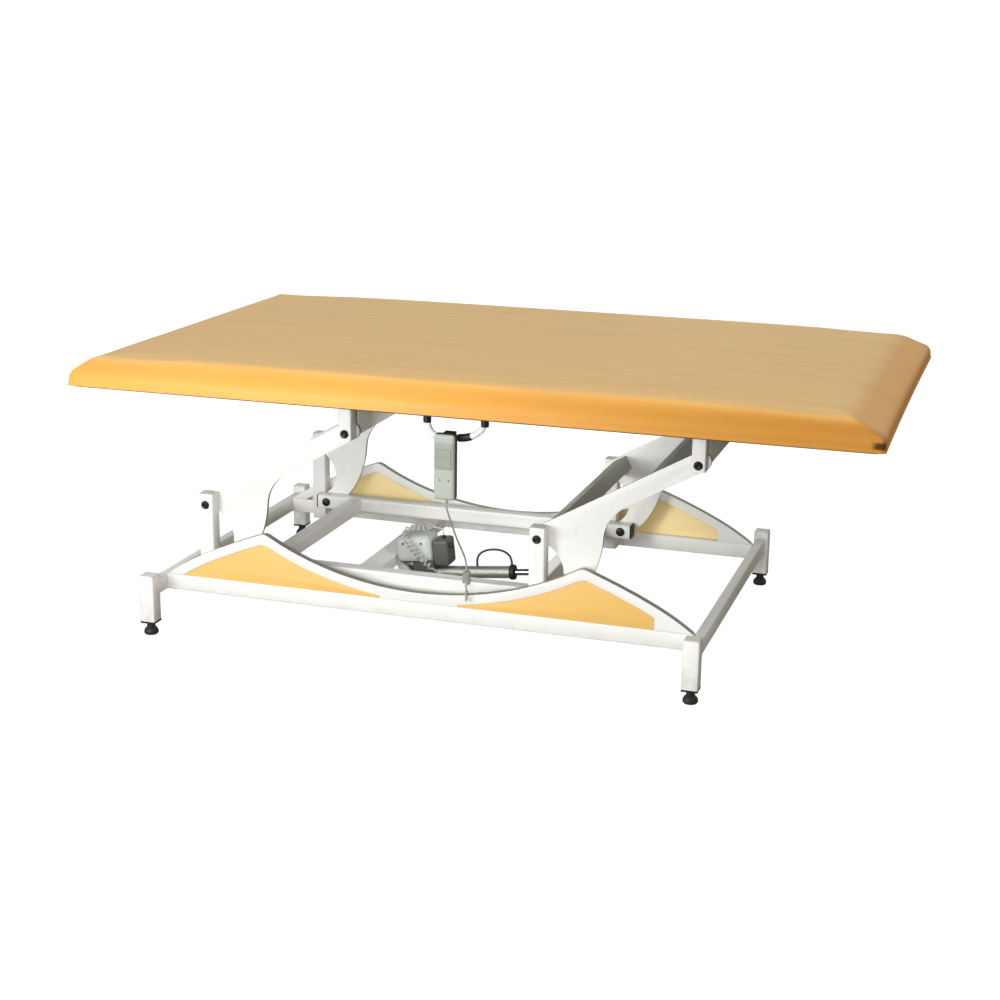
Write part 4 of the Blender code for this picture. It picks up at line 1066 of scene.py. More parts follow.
@dataclass
class Cords:
    """The handset's cord in two stretches, hanging and on the motor, and the short lead on the tube."""

    diameter: float = 0.0045
    exit_at: tuple[float, float] = (-0.011, -0.566)
    straight: tuple[float, float] = (1.5, 5.0)
    tail: tuple[float, float] = (1.2, 2.4)
    hang_shares: tuple[Triple, ...] = ((0.42, 0.45, 0.52), (0.85, 0.90, 0.86))
    curl_at: tuple[float, float] = (-0.006, -0.431)
    curl_top: float = 0.262
    curl_bottom: float = 0.203
    curl_radius: float = 0.0085
    curl_pitch: float = 0.0058
    over_frame: tuple[Triple, ...] = (
        (-0.009, -0.423, 0.169), (-0.013, -0.415, 0.182), (-0.017, -0.400, 0.187), (-0.022, -0.378, 0.177),
        (-0.028, -0.368, 0.145), (-0.036, -0.3477, 0.116), (-0.066, -0.2865, 0.098),
    )
    motor_flank: float = 0.042
    motor_top: float = 0.112
    motor_clear: float = 0.007
    gland: Triple = (0.1136, 0.0, 0.0983)
    heap_radius: float = 0.0075
    heap_pitch: float = 0.0135
    gap: float = 0.0003
    per_curl: int = 18
    draw_in: float = 0.8
    steeper: float = 6.0
    step: float = 1.2
    follow_from: float = -0.27
    follow_to: float = -0.11
    lead_diameter: float = 0.006
    lead_from: float = 0.303
    lead_span: float = 0.100
    lead_rise: float = 0.046
    lead_feet: tuple[float, float] = (0.0188, 0.0173)
    lead_steps: int = 24

    @staticmethod
    def through(points: list[Vector], steps: int) -> list[Vector]:
        """A smooth line through a few points.

        Args:
            points: The points in order.
            steps: Number of steps between each two.

        Returns:
            The line's points.
        """
        pts = [2 * points[0] - points[1], *points, 2 * points[-1] - points[-2]]
        line = []
        for p0, p1, p2, p3 in zip(pts, pts[1:], pts[2:], pts[3:]):
            square = 2 * p0 - 5 * p1 + 4 * p2 - p3
            cube = 3 * p1 - p0 - 3 * p2 + p3
            for i in range(steps):
                t = i / steps
                line.append(0.5 * (2 * p1 + (p2 - p0) * t + square * t * t + cube * t**3))
        return [*line, pts[-2]]

    @staticmethod
    def length(line: list[Vector]) -> float:
        """Length along a line."""
        return sum((q - p).length for p, q in zip(line, line[1:]))

    @staticmethod
    def placed(line: list[Vector], shares: list[float]) -> list[Vector]:
        """The points of a line at rising shares of its length.

        Args:
            line: The line's points.
            shares: Shares from 0 to 1.

        Returns:
            One point for each share.
        """
        lengths = [0.0]
        for p, q in zip(line, line[1:]):
            lengths.append(lengths[-1] + (q - p).length)
        out, k = [], 0
        for share in shares:
            s = lengths[-1] * share
            while k < len(line) - 2 and lengths[k + 1] < s:
                k += 1
            out.append(line[k].lerp(line[k + 1], (s - lengths[k]) / (lengths[k + 1] - lengths[k])))
        return out

    def spaced(self, line: list[Vector]) -> list[Vector]:
        """The line again with even steps along it, without its last point."""
        count = max(2, round(self.length(line) / (self.step * self.diameter)))
        return self.placed(line, [i / count for i in range(count)])

    def curled(self, line: list[Vector], radius: float, pitch: float) -> list[Vector]:
        """Wind a line into curls that draw in to it at both ends, where they are also steeper.

        Args:
            line: The middle of the curls.
            radius: Radius of the curls.
            pitch: Distance between two curls.

        Returns:
            The cord's points.
        """
        draw = self.draw_in * self.per_curl

        def steep(i: float) -> float:
            """How much longer the step at a place is, counted from the nearer end."""
            return 1 + self.steeper * (1 - smooth_step(i, 0, draw)) ** 2

        spare = 2 * sum(steep(i + 0.5) - 1 for i in range(round(draw)))
        last = round(self.length(line) * self.per_curl / pitch - spare)
        places = [0.0]
        for i in range(last):
            places.append(places[-1] + steep(min(i + 0.5, last - i - 0.5)))
        path = self.placed(line, [p / places[-1] for p in places])
        side = Vector((1, 0, 0))
        out = []
        for i, p in enumerate(path):
            along = (path[min(last, i + 1)] - path[max(0, i - 1)]).normalized()
            side = (side - along * side.dot(along)).normalized()
            turn = 2 * math.pi * i / self.per_curl
            reach = radius * smooth_step(min(i, last - i), 0, draw)
            out.append(p + reach * (math.cos(turn) * side + math.sin(turn) * along.cross(side)))
        return out

    @staticmethod
    def tube(name: str, points: list[Vector], diameter: float, finish: Finish) -> bpy.types.Object:
        """A round cord along its points, as a mesh.

        Args:
            name: The piece's name.
            points: Its middle line.
            diameter: Its thickness.
            finish: Its surface.

        Returns:
            The piece, which rides on nothing yet.
        """
        curve = bpy.data.curves.new(name, "CURVE")
        curve.dimensions = "3D"
        curve.bevel_depth = diameter / 2
        curve.bevel_resolution = 3
        curve.use_fill_caps = True
        spline = curve.splines.new("POLY")
        spline.points.add(len(points) - 1)
        for point, co in zip(spline.points, points):
            point.co = (*co, 1.0)
        spline.use_smooth = True
        drawn = bpy.data.objects.new(name + "_drawn", curve)
        mesh = bpy.data.meshes.new_from_object(drawn)
        bpy.data.objects.remove(drawn)
        bpy.data.curves.remove(curve)
        mesh.name = name
        mesh.materials.clear()
        mesh.materials.append(finish.material())
        obj = bpy.data.objects.new(name, mesh)
        bpy.context.scene.collection.objects.link(obj)
        return obj

    def declare(
        self, obj: bpy.types.Object, points: list[Vector], diameter: float, stiffness: Stiffness, lay: Lay
    ) -> None:
        """Say that a piece is a cord of its real length, which goes back into the object.

        Args:
            obj: The piece.
            points: Its middle line.
            diameter: Its thickness.
            stiffness: How stiff it is.
            lay: How it lies.
        """
        length = self.length(points)
        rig.cord(
            obj, exit=tuple(points[0]), length=round(length, 3), diameter=diameter, far_end="object",
            stiffness=stiffness.value, lay=lay.value, path=[tuple(p) for p in points],
        )
        LOG.info("%s is %.3f m long", obj.name, length)

    def hanging(self) -> Vector:
        """The stretch from the handset's underside to the curls before the side frame.

        Returns:
            Its lower end.
        """
        down = Vector((0, 0, -self.diameter))
        start = Vector((*self.exit_at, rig.box("handset")[0].z - self.gap))
        top, bottom = (Vector((*self.curl_at, z)) for z in (self.curl_top, self.curl_bottom))
        reach = top - start
        swing = [start + Vector(a * b for a, b in zip(reach, shares)) for shares in self.hang_shares]
        line = self.through([*(start + k * down for k in self.straight), *swing, top], steps=12)
        end = bottom + down
        curls = self.curled([top, bottom], self.curl_radius, self.curl_pitch)
        points = [start, *self.spaced(line), *curls, end]
        obj = self.tube("handset_cord_hanging", points, self.diameter, CORD_GREY)
        settle(obj, Body.HANDSET, CORD_GREY, "handset_cord")
        self.declare(obj, points, self.diameter, Stiffness.LIMP, Lay.HANGING)
        return end

    def lower(self, end: Vector) -> None:
        """The stretch from the curls over the side frame to the heap of curls on the motor.

        Args:
            end: The hanging stretch's lower end.
        """
        motor = Actuator()
        down = Vector((0, 0, -self.diameter))
        begin = end + Vector((0, 0, -self.gap))
        clear = self.heap_radius + self.diameter / 2 + self.motor_clear
        flank = -self.motor_flank - clear
        above = self.motor_top + clear
        along, aside, height = self.gland
        gland = motor.at(along, aside, height)
        heap = [
            motor.at(0.112, flank, 0.012),
            motor.at(0.076, flank, 0.042),
            motor.at(0.046, flank, 0.078),
            motor.at(0.022, flank + 0.008, above - 0.014),
            motor.at(0.022, -0.024, above),
            motor.at(0.054, -0.010, above + 0.002),
            motor.at(0.092, -0.004, above),
            motor.at(along, aside, above - 0.006),
        ]
        run = [
            *(begin + k * down for k in self.tail),
            *(Vector(point) for point in self.over_frame),
            motor.at(0.136, -0.150, -0.020),
            motor.at(0.120, flank - 0.030, -0.014),
            heap[0],
        ]
        points = [begin, *self.spaced(self.through(run, steps=8))]
        points += self.curled(self.through(heap, steps=16), self.heap_radius, self.heap_pitch)
        points += [motor.at(along, aside, height + self.diameter), gland]
        obj = self.tube("handset_cord_lower", points, self.diameter, CORD_GREY)
        here, there = ((self.curl_at[0], y, gland.z) for y in (self.follow_from, self.follow_to))
        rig.blend(obj, Body.BASE.value, Body.ACTUATOR.value, start=here, end=there)
        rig.slot(obj, CORD_GREY.slot)
        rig.replaces(obj, "motor_cord")
        LOG.info("piece %s follows the base, then the actuator", obj.name)
        self.declare(obj, points, self.diameter, Stiffness.LIMP, Lay.LOOSE)

    def lead(self) -> None:
        """The short dark lead that leaves the tube's collar and enters the tube again."""
        motor = Actuator()
        first, last = self.lead_feet
        points = []
        for i in range(self.lead_steps + 1):
            t = i / self.lead_steps
            run = self.lead_from - self.lead_span * (t - math.sin(2 * math.pi * t) / (2 * math.pi))
            height = first * (1 - t) + last * t + self.lead_rise * math.sin(math.pi * t)
            points.append(motor.at(run, 0.0, height))
        obj = self.tube("actuator_lead_cord", points, self.lead_diameter, LEAD_BLACK)
        settle(obj, Body.ACTUATOR, LEAD_BLACK, "actuator_lead")
        self.declare(obj, points, self.lead_diameter, Stiffness.MEDIUM, Lay.LOOSE)

    def build(self) -> None:
        """Both stretches, from the handset on, and the lead."""
        self.lower(self.hanging())
        self.lead()


@dataclass
class PaddedTop:
    """The board and its padded cover."""

    length: float = 2.000
    depth: float = 1.200
    lip: float = 0.034
    pad: float = 0.070
    crown: float = 0.016
    crown_at_sides: float = 0.65
    reveal: float = 0.003
    board: float = 0.0163
    skirt: float = 0.005
    skirt_ratio: float = 1.667
    run_left: float = 0.045
    run_right: float = 0.078
    run_sides: float = 0.045
    corner: float = 0.014
    shoulder: float = 0.35
    waist: float = 0.003
    edge_drop: float = 0.018
    swell: float = 0.0018
    proud_ends: float = 0.0065
    proud_sides: float = 0.0020
    # climb over which the painted sheen comes in on the upper face and on the right slope
    rub: tuple[float, float] = (0.55, 1.30)
    slope_rub: tuple[float, float] = (0.02, 0.50)
    slope_share: float = 0.32
    held_in: float = 0.0065
    held_rim: float = 0.0035
    held_above: float = 0.001
    cap: float = 0.0026
    cell: float = 0.022
    frames: int = 20

    def stations(self, half: float, first_run: float, last_run: float) -> list[float]:
        """Places of the cover's rows across one direction, close together near its edges.

        Args:
            half: Half the size in that direction.
            first_run: Width of the slope at the negative edge.
            last_run: Width of the slope at the positive edge.

        Returns:
            The places in order.
        """
        edge_steps = (0.0, 0.2, 0.4, 0.6, 0.8)
        slope_steps = (0.0, 0.2, 0.4, 0.6, 0.78, 0.9, 1.0, 1.12, 1.28, 1.5, 1.8)
        first, last = (
            [self.corner * k * k for k in edge_steps]
            + [self.corner + (run - self.corner) * k for k in slope_steps]
            for run in (first_run, last_run)
        )
        start, end = first[-1] - half, half - last[-1]
        count = round((end - start) / self.cell)
        rows = [d - half for d in first] + [start + (end - start) * i / count for i in range(1, count)]
        return rows + [half - d for d in last[::-1]]

    def climb(self, x: float, y: float, half: Vector) -> float:
        """How far up the slopes a place lies, 0 at the edge and 1 where the slopes end."""
        run = self.run_left if x < 0 else self.run_right
        return min((half.x - abs(x)) / run, (half.y - abs(y)) / self.run_sides)

    def height(self, x: float, y: float, half: Vector) -> float:
        """Height of the cover over the board's underside.

        Args:
            x: Place along the table.
            y: Place across it.
            half: Half the cover's length and depth.

        Returns:
            The height, with the slopes, the crown and the rounded edge.
        """
        climb = self.climb(x, y, half)
        bend = max(0.0, 1 + self.shoulder - climb)
        soft = climb if climb < 1 - self.shoulder else 1 - bend * bend / (4 * self.shoulder)
        z = self.lip + (self.pad - self.swell - self.lip) * min(1.0, soft)
        across = 1 - (1 - self.crown_at_sides) * (y / half.y) ** 2
        z += self.crown * min(1.0, climb) * (1 - (x / half.x) ** 4) * across
        near = max(0.0, min(half.x - abs(x), half.y - abs(y))) / self.corner
        return z - self.edge_drop * max(0.0, 1 - math.sqrt(near)) ** 2

    def rubbed(self, x: float, y: float, half: Vector) -> float:
        """How much painted sheen the cover takes, fully on its upper face and partly on the right slope.

        Args:
            x: Place along the table.
            y: Place across it.
            half: Half the cover's length and depth.

        Returns:
            A share from 0 to 1.
        """
        climb = self.climb(x, y, half)
        on_slope = (half.x - x) / self.run_right < climb + 0.001
        partly = self.slope_share * on_slope * smooth_step(climb, *self.slope_rub)
        return max(smooth_step(climb, *self.rub), partly)

    def rounded(self, x: float, y: float, half: Vector) -> tuple[float, float]:
        """A place of the square grid moved to the cover's rounded and waisted outline.

        Args:
            x: Place along the table.
            y: Place across it.
            half: Half the cover's length and depth.

        Returns:
            The new place.
        """
        bend = Vector((abs(x) - half.x + self.corner, abs(y) - half.y + self.corner))
        if bend.x > 0 and bend.y > 0:
            bend *= max(bend.x, bend.y) / bend.length
            x = math.copysign(half.x - self.corner + bend.x, x)
            y = math.copysign(half.y - self.corner + bend.y, y)
        return (
            x * (1 - self.waist / half.x * (1 - (y / half.y) ** 2)),
            y * (1 - self.waist / half.y * (1 - (x / half.x) ** 2)),
        )

    def shell(self) -> bmesh.types.BMesh:
        """Draw the cover as a closed shape, a little smaller than it ends up.

        Returns:
            The shape in the frame's metres.
        """
        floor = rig.box("top_board")[0].z
        half = Vector(
            (self.length / 2 + self.proud_ends - self.swell, self.depth / 2 + self.proud_sides - self.swell)
        )
        xs = self.stations(half.x, self.run_left, self.run_right)
        ys = self.stations(half.y, self.run_sides, self.run_sides)
        bm = bmesh.new()
        upper = bm.verts.layers.float.new("upper_face")
        for under in (False, True):
            known = set(bm.verts)
            bmesh.ops.create_grid(bm, x_segments=len(xs) - 1, y_segments=len(ys) - 1, size=1.0)
            for v in [v for v in bm.verts if v not in known]:
                x = xs[round((v.co.x + 1) / 2 * (len(xs) - 1))]
                y = ys[round((v.co.y + 1) / 2 * (len(ys) - 1))]
                out_x, out_y = self.rounded(x, y, half)
                if under:
                    in_x, in_y = 1 - self.skirt, 1 - self.skirt * self.skirt_ratio
                    v.co = (out_x * in_x, out_y * in_y, floor + self.board)
                else:
                    v.co = (out_x, out_y, floor + self.height(x, y, half))
                    # each point's share of painted sheen
                    v[upper] = self.rubbed(x, y, half)
            if not under:
                rim = [e for e in bm.edges if e.is_boundary]
        rim_heights = (0.0125, 0.0080, self.reveal + 0.0030, self.reveal + 0.0008, self.reveal)
        for height in rim_heights:
            rim = self.lower_rim(bm, rim, floor + height, 1.0)
        rim = self.lower_rim(bm, rim, floor + self.reveal, 1 - self.skirt)
        self.lower_rim(bm, rim, floor + self.board, 1.0)
        return bm

    def lower_rim(
        self, bm: bmesh.types.BMesh, rim: list[bmesh.types.BMEdge], height: float, draw: float
    ) -> list[bmesh.types.BMEdge]:
        """Extrude an open rim to a height, drawn in towards the middle.

        Args:
            bm: The mesh.
            rim: The open edges.
            height: Height of the new edges.
            draw: Share of the distance from the middle that is kept.

        Returns:
            The new open edges.
        """
        grown = bmesh.ops.extrude_edge_only(bm, edges=rim)["geom"]
        for v in raised(grown):
            v.co = (v.co.x * draw, v.co.y * (1 - (1 - draw) * self.skirt_ratio), height)
        return [e for e in grown if isinstance(e, bmesh.types.BMEdge) and e.is_boundary]

    def held(self, co: Vector, floor: float) -> bool:
        """Whether a point of the cover is fixed, as its lowest rim and its underside are.

        Args:
            co: The point.
            floor: Height of the board's underside.

        Returns:
            True for a fixed point.
        """
        if co.z < floor + self.reveal + self.held_rim:
            return True
        inside = abs(co.x) < self.length / 2 - self.held_in and abs(co.y) < self.depth / 2 - self.held_in
        return inside and co.z < floor + self.board + self.held_above

    def inflate(self, obj: bpy.types.Object) -> None:
        """Let the cover swell under pressure as cloth that is held under the board.

        Args:
            obj: The cover, whose mesh is changed.
        """
        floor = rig.box("top_board")[0].z
        rest = [v.co.copy() for v in obj.data.vertices]
        group = obj.vertex_groups.new(name="held")
        group.add([i for i, co in enumerate(rest) if self.held(co, floor)], 1.0, "REPLACE")
        cloth = obj.modifiers.new("cover", "CLOTH")
        settings = cloth.settings
        settings.quality = 6
        settings.mass = 0.25
        settings.tension_stiffness = 60
        settings.compression_stiffness = 60
        settings.shear_stiffness = 40
        settings.bending_stiffness = 12
        settings.use_pressure = True
        settings.uniform_pressure_force = 4.0
        settings.vertex_group_mass = group.name
        settings.effector_weights.gravity = 0.0
        cloth.point_cache.frame_end = self.frames
        scene = bpy.context.scene
        for step in range(1, self.frames + 1):
            scene.frame_set(step)
        shape = obj.evaluated_get(bpy.context.evaluated_depsgraph_get()).to_mesh()
        moved = [v.co.copy() for v in shape.vertices]
        obj.modifiers.remove(cloth)
        for v, before, after in zip(obj.data.vertices, rest, moved):
            shift = after - before
            if shift.length > self.cap:
                shift *= self.cap / shift.length
            v.co = before + shift
        scene.frame_set(1)
        obj.vertex_groups.clear()

    def cover(self) -> None:
        """The padded cover, simulated and subdivided once."""
        obj = made_object("padded_cover", self.shell(), VINYL, angle=60.0)
        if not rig.quick():
            self.inflate(obj)
        subdivided = obj.modifiers.new("smooth", "SUBSURF")
        subdivided.levels = subdivided.render_levels = 1
        settle(obj, Body.TOP, VINYL, "top_cushion")
        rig.padded(obj, fill=0.9)

    def build(self) -> None:
        """Board and cover."""
        dress("top_board", BOARD)
        self.cover()


@dataclass
class Bolts:
    """Pivot bolts with domed socket heads, flanges and nuts."""

    head: Profile = ((0.0058, 0.0), (0.0086, 0.0011), (0.0101, 0.0031), (0.0104, 0.0048))
    head_radius: float = 0.0110
    head_height: float = 0.0070
    flange: float = 0.0050
    socket: float = 0.0034
    socket_depth: float = 0.0042
    socket_edge: float = 0.0005
    shank: float = 0.0065
    nut_flat: float = 0.0080
    nut_height: float = 0.0060
    nut_edge: float = 0.0008
    tip: float = 0.0056

    def bolt(self, node: str, body: Body, side: Side) -> None:
        """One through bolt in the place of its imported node.

        Args:
            node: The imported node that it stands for.
            body: The body that carries it.
            side: The side that its head is on.
        """
        low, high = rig.box(node)
        length = high.y - low.y
        nut = length - self.nut_height
        bm = turned(
            (
                (0.0, self.socket_depth), (self.socket, self.socket_depth), (self.socket, self.socket_edge),
                *self.head,
                (self.head_radius, self.flange), (self.head_radius, self.head_height),
                (self.shank, self.head_height), (self.shank, nut), (self.nut_flat, nut),
                (self.nut_flat, length - self.nut_edge), (self.tip, length), (0.0, length),
            ),
            ROUND_STEPS,
        )
        six_sided(bm, self.socket)
        six_sided(bm, self.nut_flat)
        middle = (low + high) / 2
        outer = low.y if side is Side.FRONT else high.y
        turn = Matrix.Rotation(side.value * QUARTER, 4, "X")
        place = Matrix.Translation((middle.x, outer, middle.z)) @ turn
        fitted(node + "_detail", bm, place, body, BLACK_STEEL, node)

    def build(self) -> None:
        """All eight pivot bolts."""
        for side, end in CORNERS:
            self.bolt(f"lower_pivot_bolt_{side}_{end}", Body.BASE, side)
            self.bolt(f"upper_pivot_bolt_{side}_{end}", Body.TOP, side)


@dataclass
class BaseFrame:
    """Legs, rails, bands, panels, posts, the low cross-member and the feet."""

    rail_edge: float = 0.0018
    side_edge: float = 0.0016
    post_edge: float = 0.0014
    panel_edge: float = 0.0006
    plug_half: float = 0.0202
    plug_height: float = 0.0055
    plug_hole: float = 0.0075
    plug_edge: float = 0.0010
    plug_gap: float = 0.0002
    cap_inset: float = 0.0016
    cap_height: float = 0.0024
    cap_sink: float = 0.0003
    gap: float = 0.0003

    def plug(self, corner: str) -> None:
        """A square plug with a hole for the foot's stem, under a leg.

        Args:
            corner: The leg's corner.
        """
        low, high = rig.box(f"leg_{corner}")
        middle = (low + high) / 2
        bm = bmesh.new()
        for v in bmesh.ops.create_circle(bm, segments=32, radius=self.plug_half)["verts"]:
            v.co *= self.plug_half / max(abs(v.co.x), abs(v.co.y))
        bmesh.ops.create_circle(bm, segments=32, radius=self.plug_hole)
        faces = bmesh.ops.bridge_loops(bm, edges=bm.edges[:])["faces"]
        grown = bmesh.ops.extrude_face_region(bm, geom=faces)["geom"]
        bmesh.ops.translate(bm, vec=(0, 0, -self.plug_height), verts=raised(grown))
        bmesh.ops.recalc_face_normals(bm, faces=bm.faces)
        outside = self.plug_half * 0.9
        rim = [
            e for e in bm.edges
            if e.calc_face_angle(0.0) > SHARP_ANGLE
            and max(abs(c) for v in e.verts for c in v.co.xy) > outside
        ]
        bmesh.ops.bevel(
            bm, geom=rim, offset=self.plug_edge, segments=2, profile=0.5, affect="EDGES", material=-1
        )
        place = Matrix.Translation((middle.x, middle.y, low.z - self.plug_gap))
        fitted(f"leg_plug_{corner}", bm, place, Body.BASE, FOOT_RUBBER)

    def top_cap(self, node: str) -> None:
        """A thin white cap on the top of an upright tube.

        Args:
            node: The tube's node.
        """
        low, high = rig.box(node)
        size = high - low
        middle = (low + high) / 2
        bm = square_cap(size.x - self.cap_inset, size.y - self.cap_inset, self.cap_height, self.cap_sink)
        place = Matrix.Translation((middle.x, middle.y, high.z + self.gap))
        fitted(f"{node}_cap", bm, place, Body.BASE, WHITE_PLASTIC)

    def build(self) -> None:
        """Round the base's edges and add the plugs and caps."""
        for end in End:
            softened(f"end_rail_{end}", Body.BASE, WHITE_PAINT, self.rail_edge)
        for side in Side:
            softened(f"side_rail_{side}", Body.BASE, WHITE_PAINT, self.side_edge)
            softened(f"side_band_{side}", Body.BASE, WHITE_PAINT, self.side_edge, plate=True)
        dress("actuator_beam", WHITE_PAINT)
        for side, end in CORNERS:
            corner = f"{side}_{end}"
            softened(f"leg_{corner}", Body.BASE, WHITE_PAINT, self.rail_edge)
            softened(f"post_{corner}", Body.BASE, WHITE_PAINT, self.post_edge)
            softened(f"infill_panel_{corner}", Body.BASE, YELLOW_PANEL, self.panel_edge)
            dress(f"levelling_foot_{corner}", FOOT_RUBBER)
            self.plug(corner)
            self.top_cap(f"leg_{corner}")


@dataclass
class Lift:
    """Arms, tie frame, hangers and beams."""

    arm_edge: float = 0.0012
    hanger_edge: float = 0.0014
    tube_edge: float = 0.0016
    cap: Profile = (
        (0.0, 0.0052), (0.0083, 0.0052), (0.0083, 0.0003), (0.0125, 0.0003), (0.0125, 0.0022),
        (0.0118, 0.0030), (0.0110, 0.0056), (0.0080, 0.0072), (0.0, 0.0075),
    )
    pin_height: float = 0.170
    pin_reach: float = 0.045
    tie_inner: float = 0.2965
    plug_inset: float = 0.0012
    plug_height: float = 0.0040
    plug_sink: float = 0.0010
    gap: float = 0.0003

    def pin_cap(self, side: Side, end: End, body: Body) -> None:
        """A domed black cap on the end of a lever's pin.

        Args:
            side: The lever's side.
            end: The lever's end of the table.
            body: The arm that carries it.
        """
        low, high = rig.box(f"post_{side}_{end}")
        x = (low.x + high.x) / 2 + self.pin_reach
        place = Matrix.Translation((x, side.value * self.tie_inner, self.pin_height))
        turn = Matrix.Rotation(side.value * QUARTER, 4, "X")
        fitted(f"lever_pin_cap_{side}_{end}", turned(self.cap, ROUND_STEPS), place @ turn, body, BLACK_STEEL)

    def bar_plug(self, side: Side, end: End) -> None:
        """A black plug in the end of a tie bar.

        Args:
            side: The bar's side.
            end: The bar's end.
        """
        low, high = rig.box(f"tie_bar_{side}")
        size = high - low
        middle = (low + high) / 2
        x = low.x - self.gap if end is End.LEFT else high.x + self.gap
        bm = square_cap(size.z - self.plug_inset, size.y - self.plug_inset, self.plug_height, self.plug_sink)
        place = Matrix.Translation((x, middle.y, middle.z)) @ Matrix.Rotation(end.value * QUARTER, 4, "Y")
        fitted(f"tie_bar_plug_{side}_{end}", bm, place, Body.TIE_FRAME, BLACK_PLASTIC)

    def build(self) -> None:
        """Round the lift's edges and cap its pins and bars."""
        left_arms = {Side.FRONT: Body.LEFT_ARM_FRONT, Side.REAR: Body.LEFT_ARM_REAR}
        for side, end in CORNERS:
            carrier = left_arms[side] if end is End.LEFT else Body.RIGHT_ARMS
            softened(f"lift_arm_{side}_{end}", carrier, WHITE_PAINT, self.arm_edge, plate=True)
            softened(f"hanger_{side}_{end}", Body.TOP, WHITE_PAINT, self.hanger_edge)
            self.pin_cap(side, end, carrier)
        for level in ("lower", "upper"):
            # the cross tubes take the grey painted shade
            softened(f"arm_cross_tube_{level}", Body.RIGHT_ARMS, SHADED_CROSS_PAINT, self.tube_edge)
        for side in Side:
            softened(f"tie_bar_{side}", Body.TIE_FRAME, WHITE_PAINT, self.tube_edge)
            for end in End:
                self.bar_plug(side, end)
        for end in End:
            softened(f"top_beam_{end}", Body.TOP, WHITE_PAINT, self.tube_edge)
            dress(f"tie_cross_tube_{end}", WHITE_PAINT)


@dataclass
class Actuator:
    """Motor and gear housing, control cap, tube and rod."""

    rear: Triple = (-0.320, 0.0, 0.083)
    tilt: float = math.atan2(0.048, 0.448)
    ring_at: float = 0.2972
    ring_steps: int = 36
    ring: Profile = (
        (0.0186, 0.0), (0.0202, 0.0), (0.0208, 0.0012), (0.0208, 0.0110), (0.0198, 0.0130), (0.0126, 0.0134),
        (0.0116, 0.0124), (0.0186, 0.0120), (0.0186, 0.0),
    )
    knob_at: Triple = (0.1325, -0.014, 0.080)
    knob_profile: Profile = (
        (0.0, 0.0), (0.0072, 0.0), (0.0072, 0.0016), (0.0060, 0.0020), (0.0060, 0.0074), (0.0050, 0.0086),
        (0.0, 0.0088),
    )
    knob_steps: int = 32
    knob_ribs: int = 8
    rib_depth: float = 0.05
    rib_from: float = 0.0018
    rib_radius: float = 0.004
    boot_at: Triple = (0.1136, 0.0, 0.0981)
    boot: Triple = (0.0080, 0.0052, 0.0032)
    screws_at: tuple[Triple, ...] = ((0.008, -0.0436, 0.092), (0.060, -0.0436, 0.092))
    screw: Profile = (
        (0.0, 0.0008), (0.0012, 0.0008), (0.0014, 0.0), (0.0030, 0.0003), (0.0034, 0.0014), (0.0034, 0.0030)
    )

    def frame_at(self, run: float, y: float, height: float) -> Matrix:
        """The actuator's own axes at a place by distance along it, Y and height above its axis."""
        turn = Matrix.Rotation(-self.tilt, 4, "Y")
        return Matrix.Translation(self.rear) @ turn @ Matrix.Translation((run, y, height))

    def at(self, run: float, y: float, height: float) -> Vector:
        """A place by distance along the actuator, Y and height above its axis."""
        return self.frame_at(run, y, height).translation

    def knob(self) -> None:
        """A ribbed knob on the control cap's free end."""
        bm = turned(self.knob_profile, self.knob_steps)
        for v in bm.verts:
            if v.co.z > self.rib_from and v.co.xy.length > self.rib_radius:
                turn = math.atan2(v.co.y, v.co.x)
                v.co.xy *= 1 + self.rib_depth * math.cos(self.knob_ribs * turn)
        place = self.frame_at(*self.knob_at) @ Matrix.Rotation(QUARTER, 4, "Y")
        fitted("control_cap_knob", bm, place, Body.ACTUATOR, BLACK_PLASTIC)

    def build(self) -> None:
        """Dress the actuator, and add its wiper ring, its knob, the cord's boot and its screws."""
        dress("actuator_housing", MOTOR_GREY)
        dress("actuator_cap", CAP_GREY)
        dress("actuator_tube", TUBE_ALLOY)
        dress("actuator_rod", ROD_CHROME)
        place = self.frame_at(self.ring_at, 0.0, 0.0) @ Matrix.Rotation(QUARTER, 4, "Y")
        fitted("tube_wiper_ring", turned(self.ring, self.ring_steps), place, Body.ACTUATOR, BLACK_PLASTIC)
        self.knob()
        boot = turned(boot_profile(*self.boot), ROUND_STEPS)
        fitted("cord_boot_motor", boot, self.frame_at(*self.boot_at), Body.ACTUATOR, BLACK_PLASTIC)
        for i, spot in enumerate(self.screws_at, 1):
            place = self.frame_at(*spot) @ Matrix.Rotation(-QUARTER, 4, "X")
            fitted(f"motor_screw_{i}", turned(self.screw, ROUND_STEPS), place, Body.ACTUATOR, BLACK_STEEL)


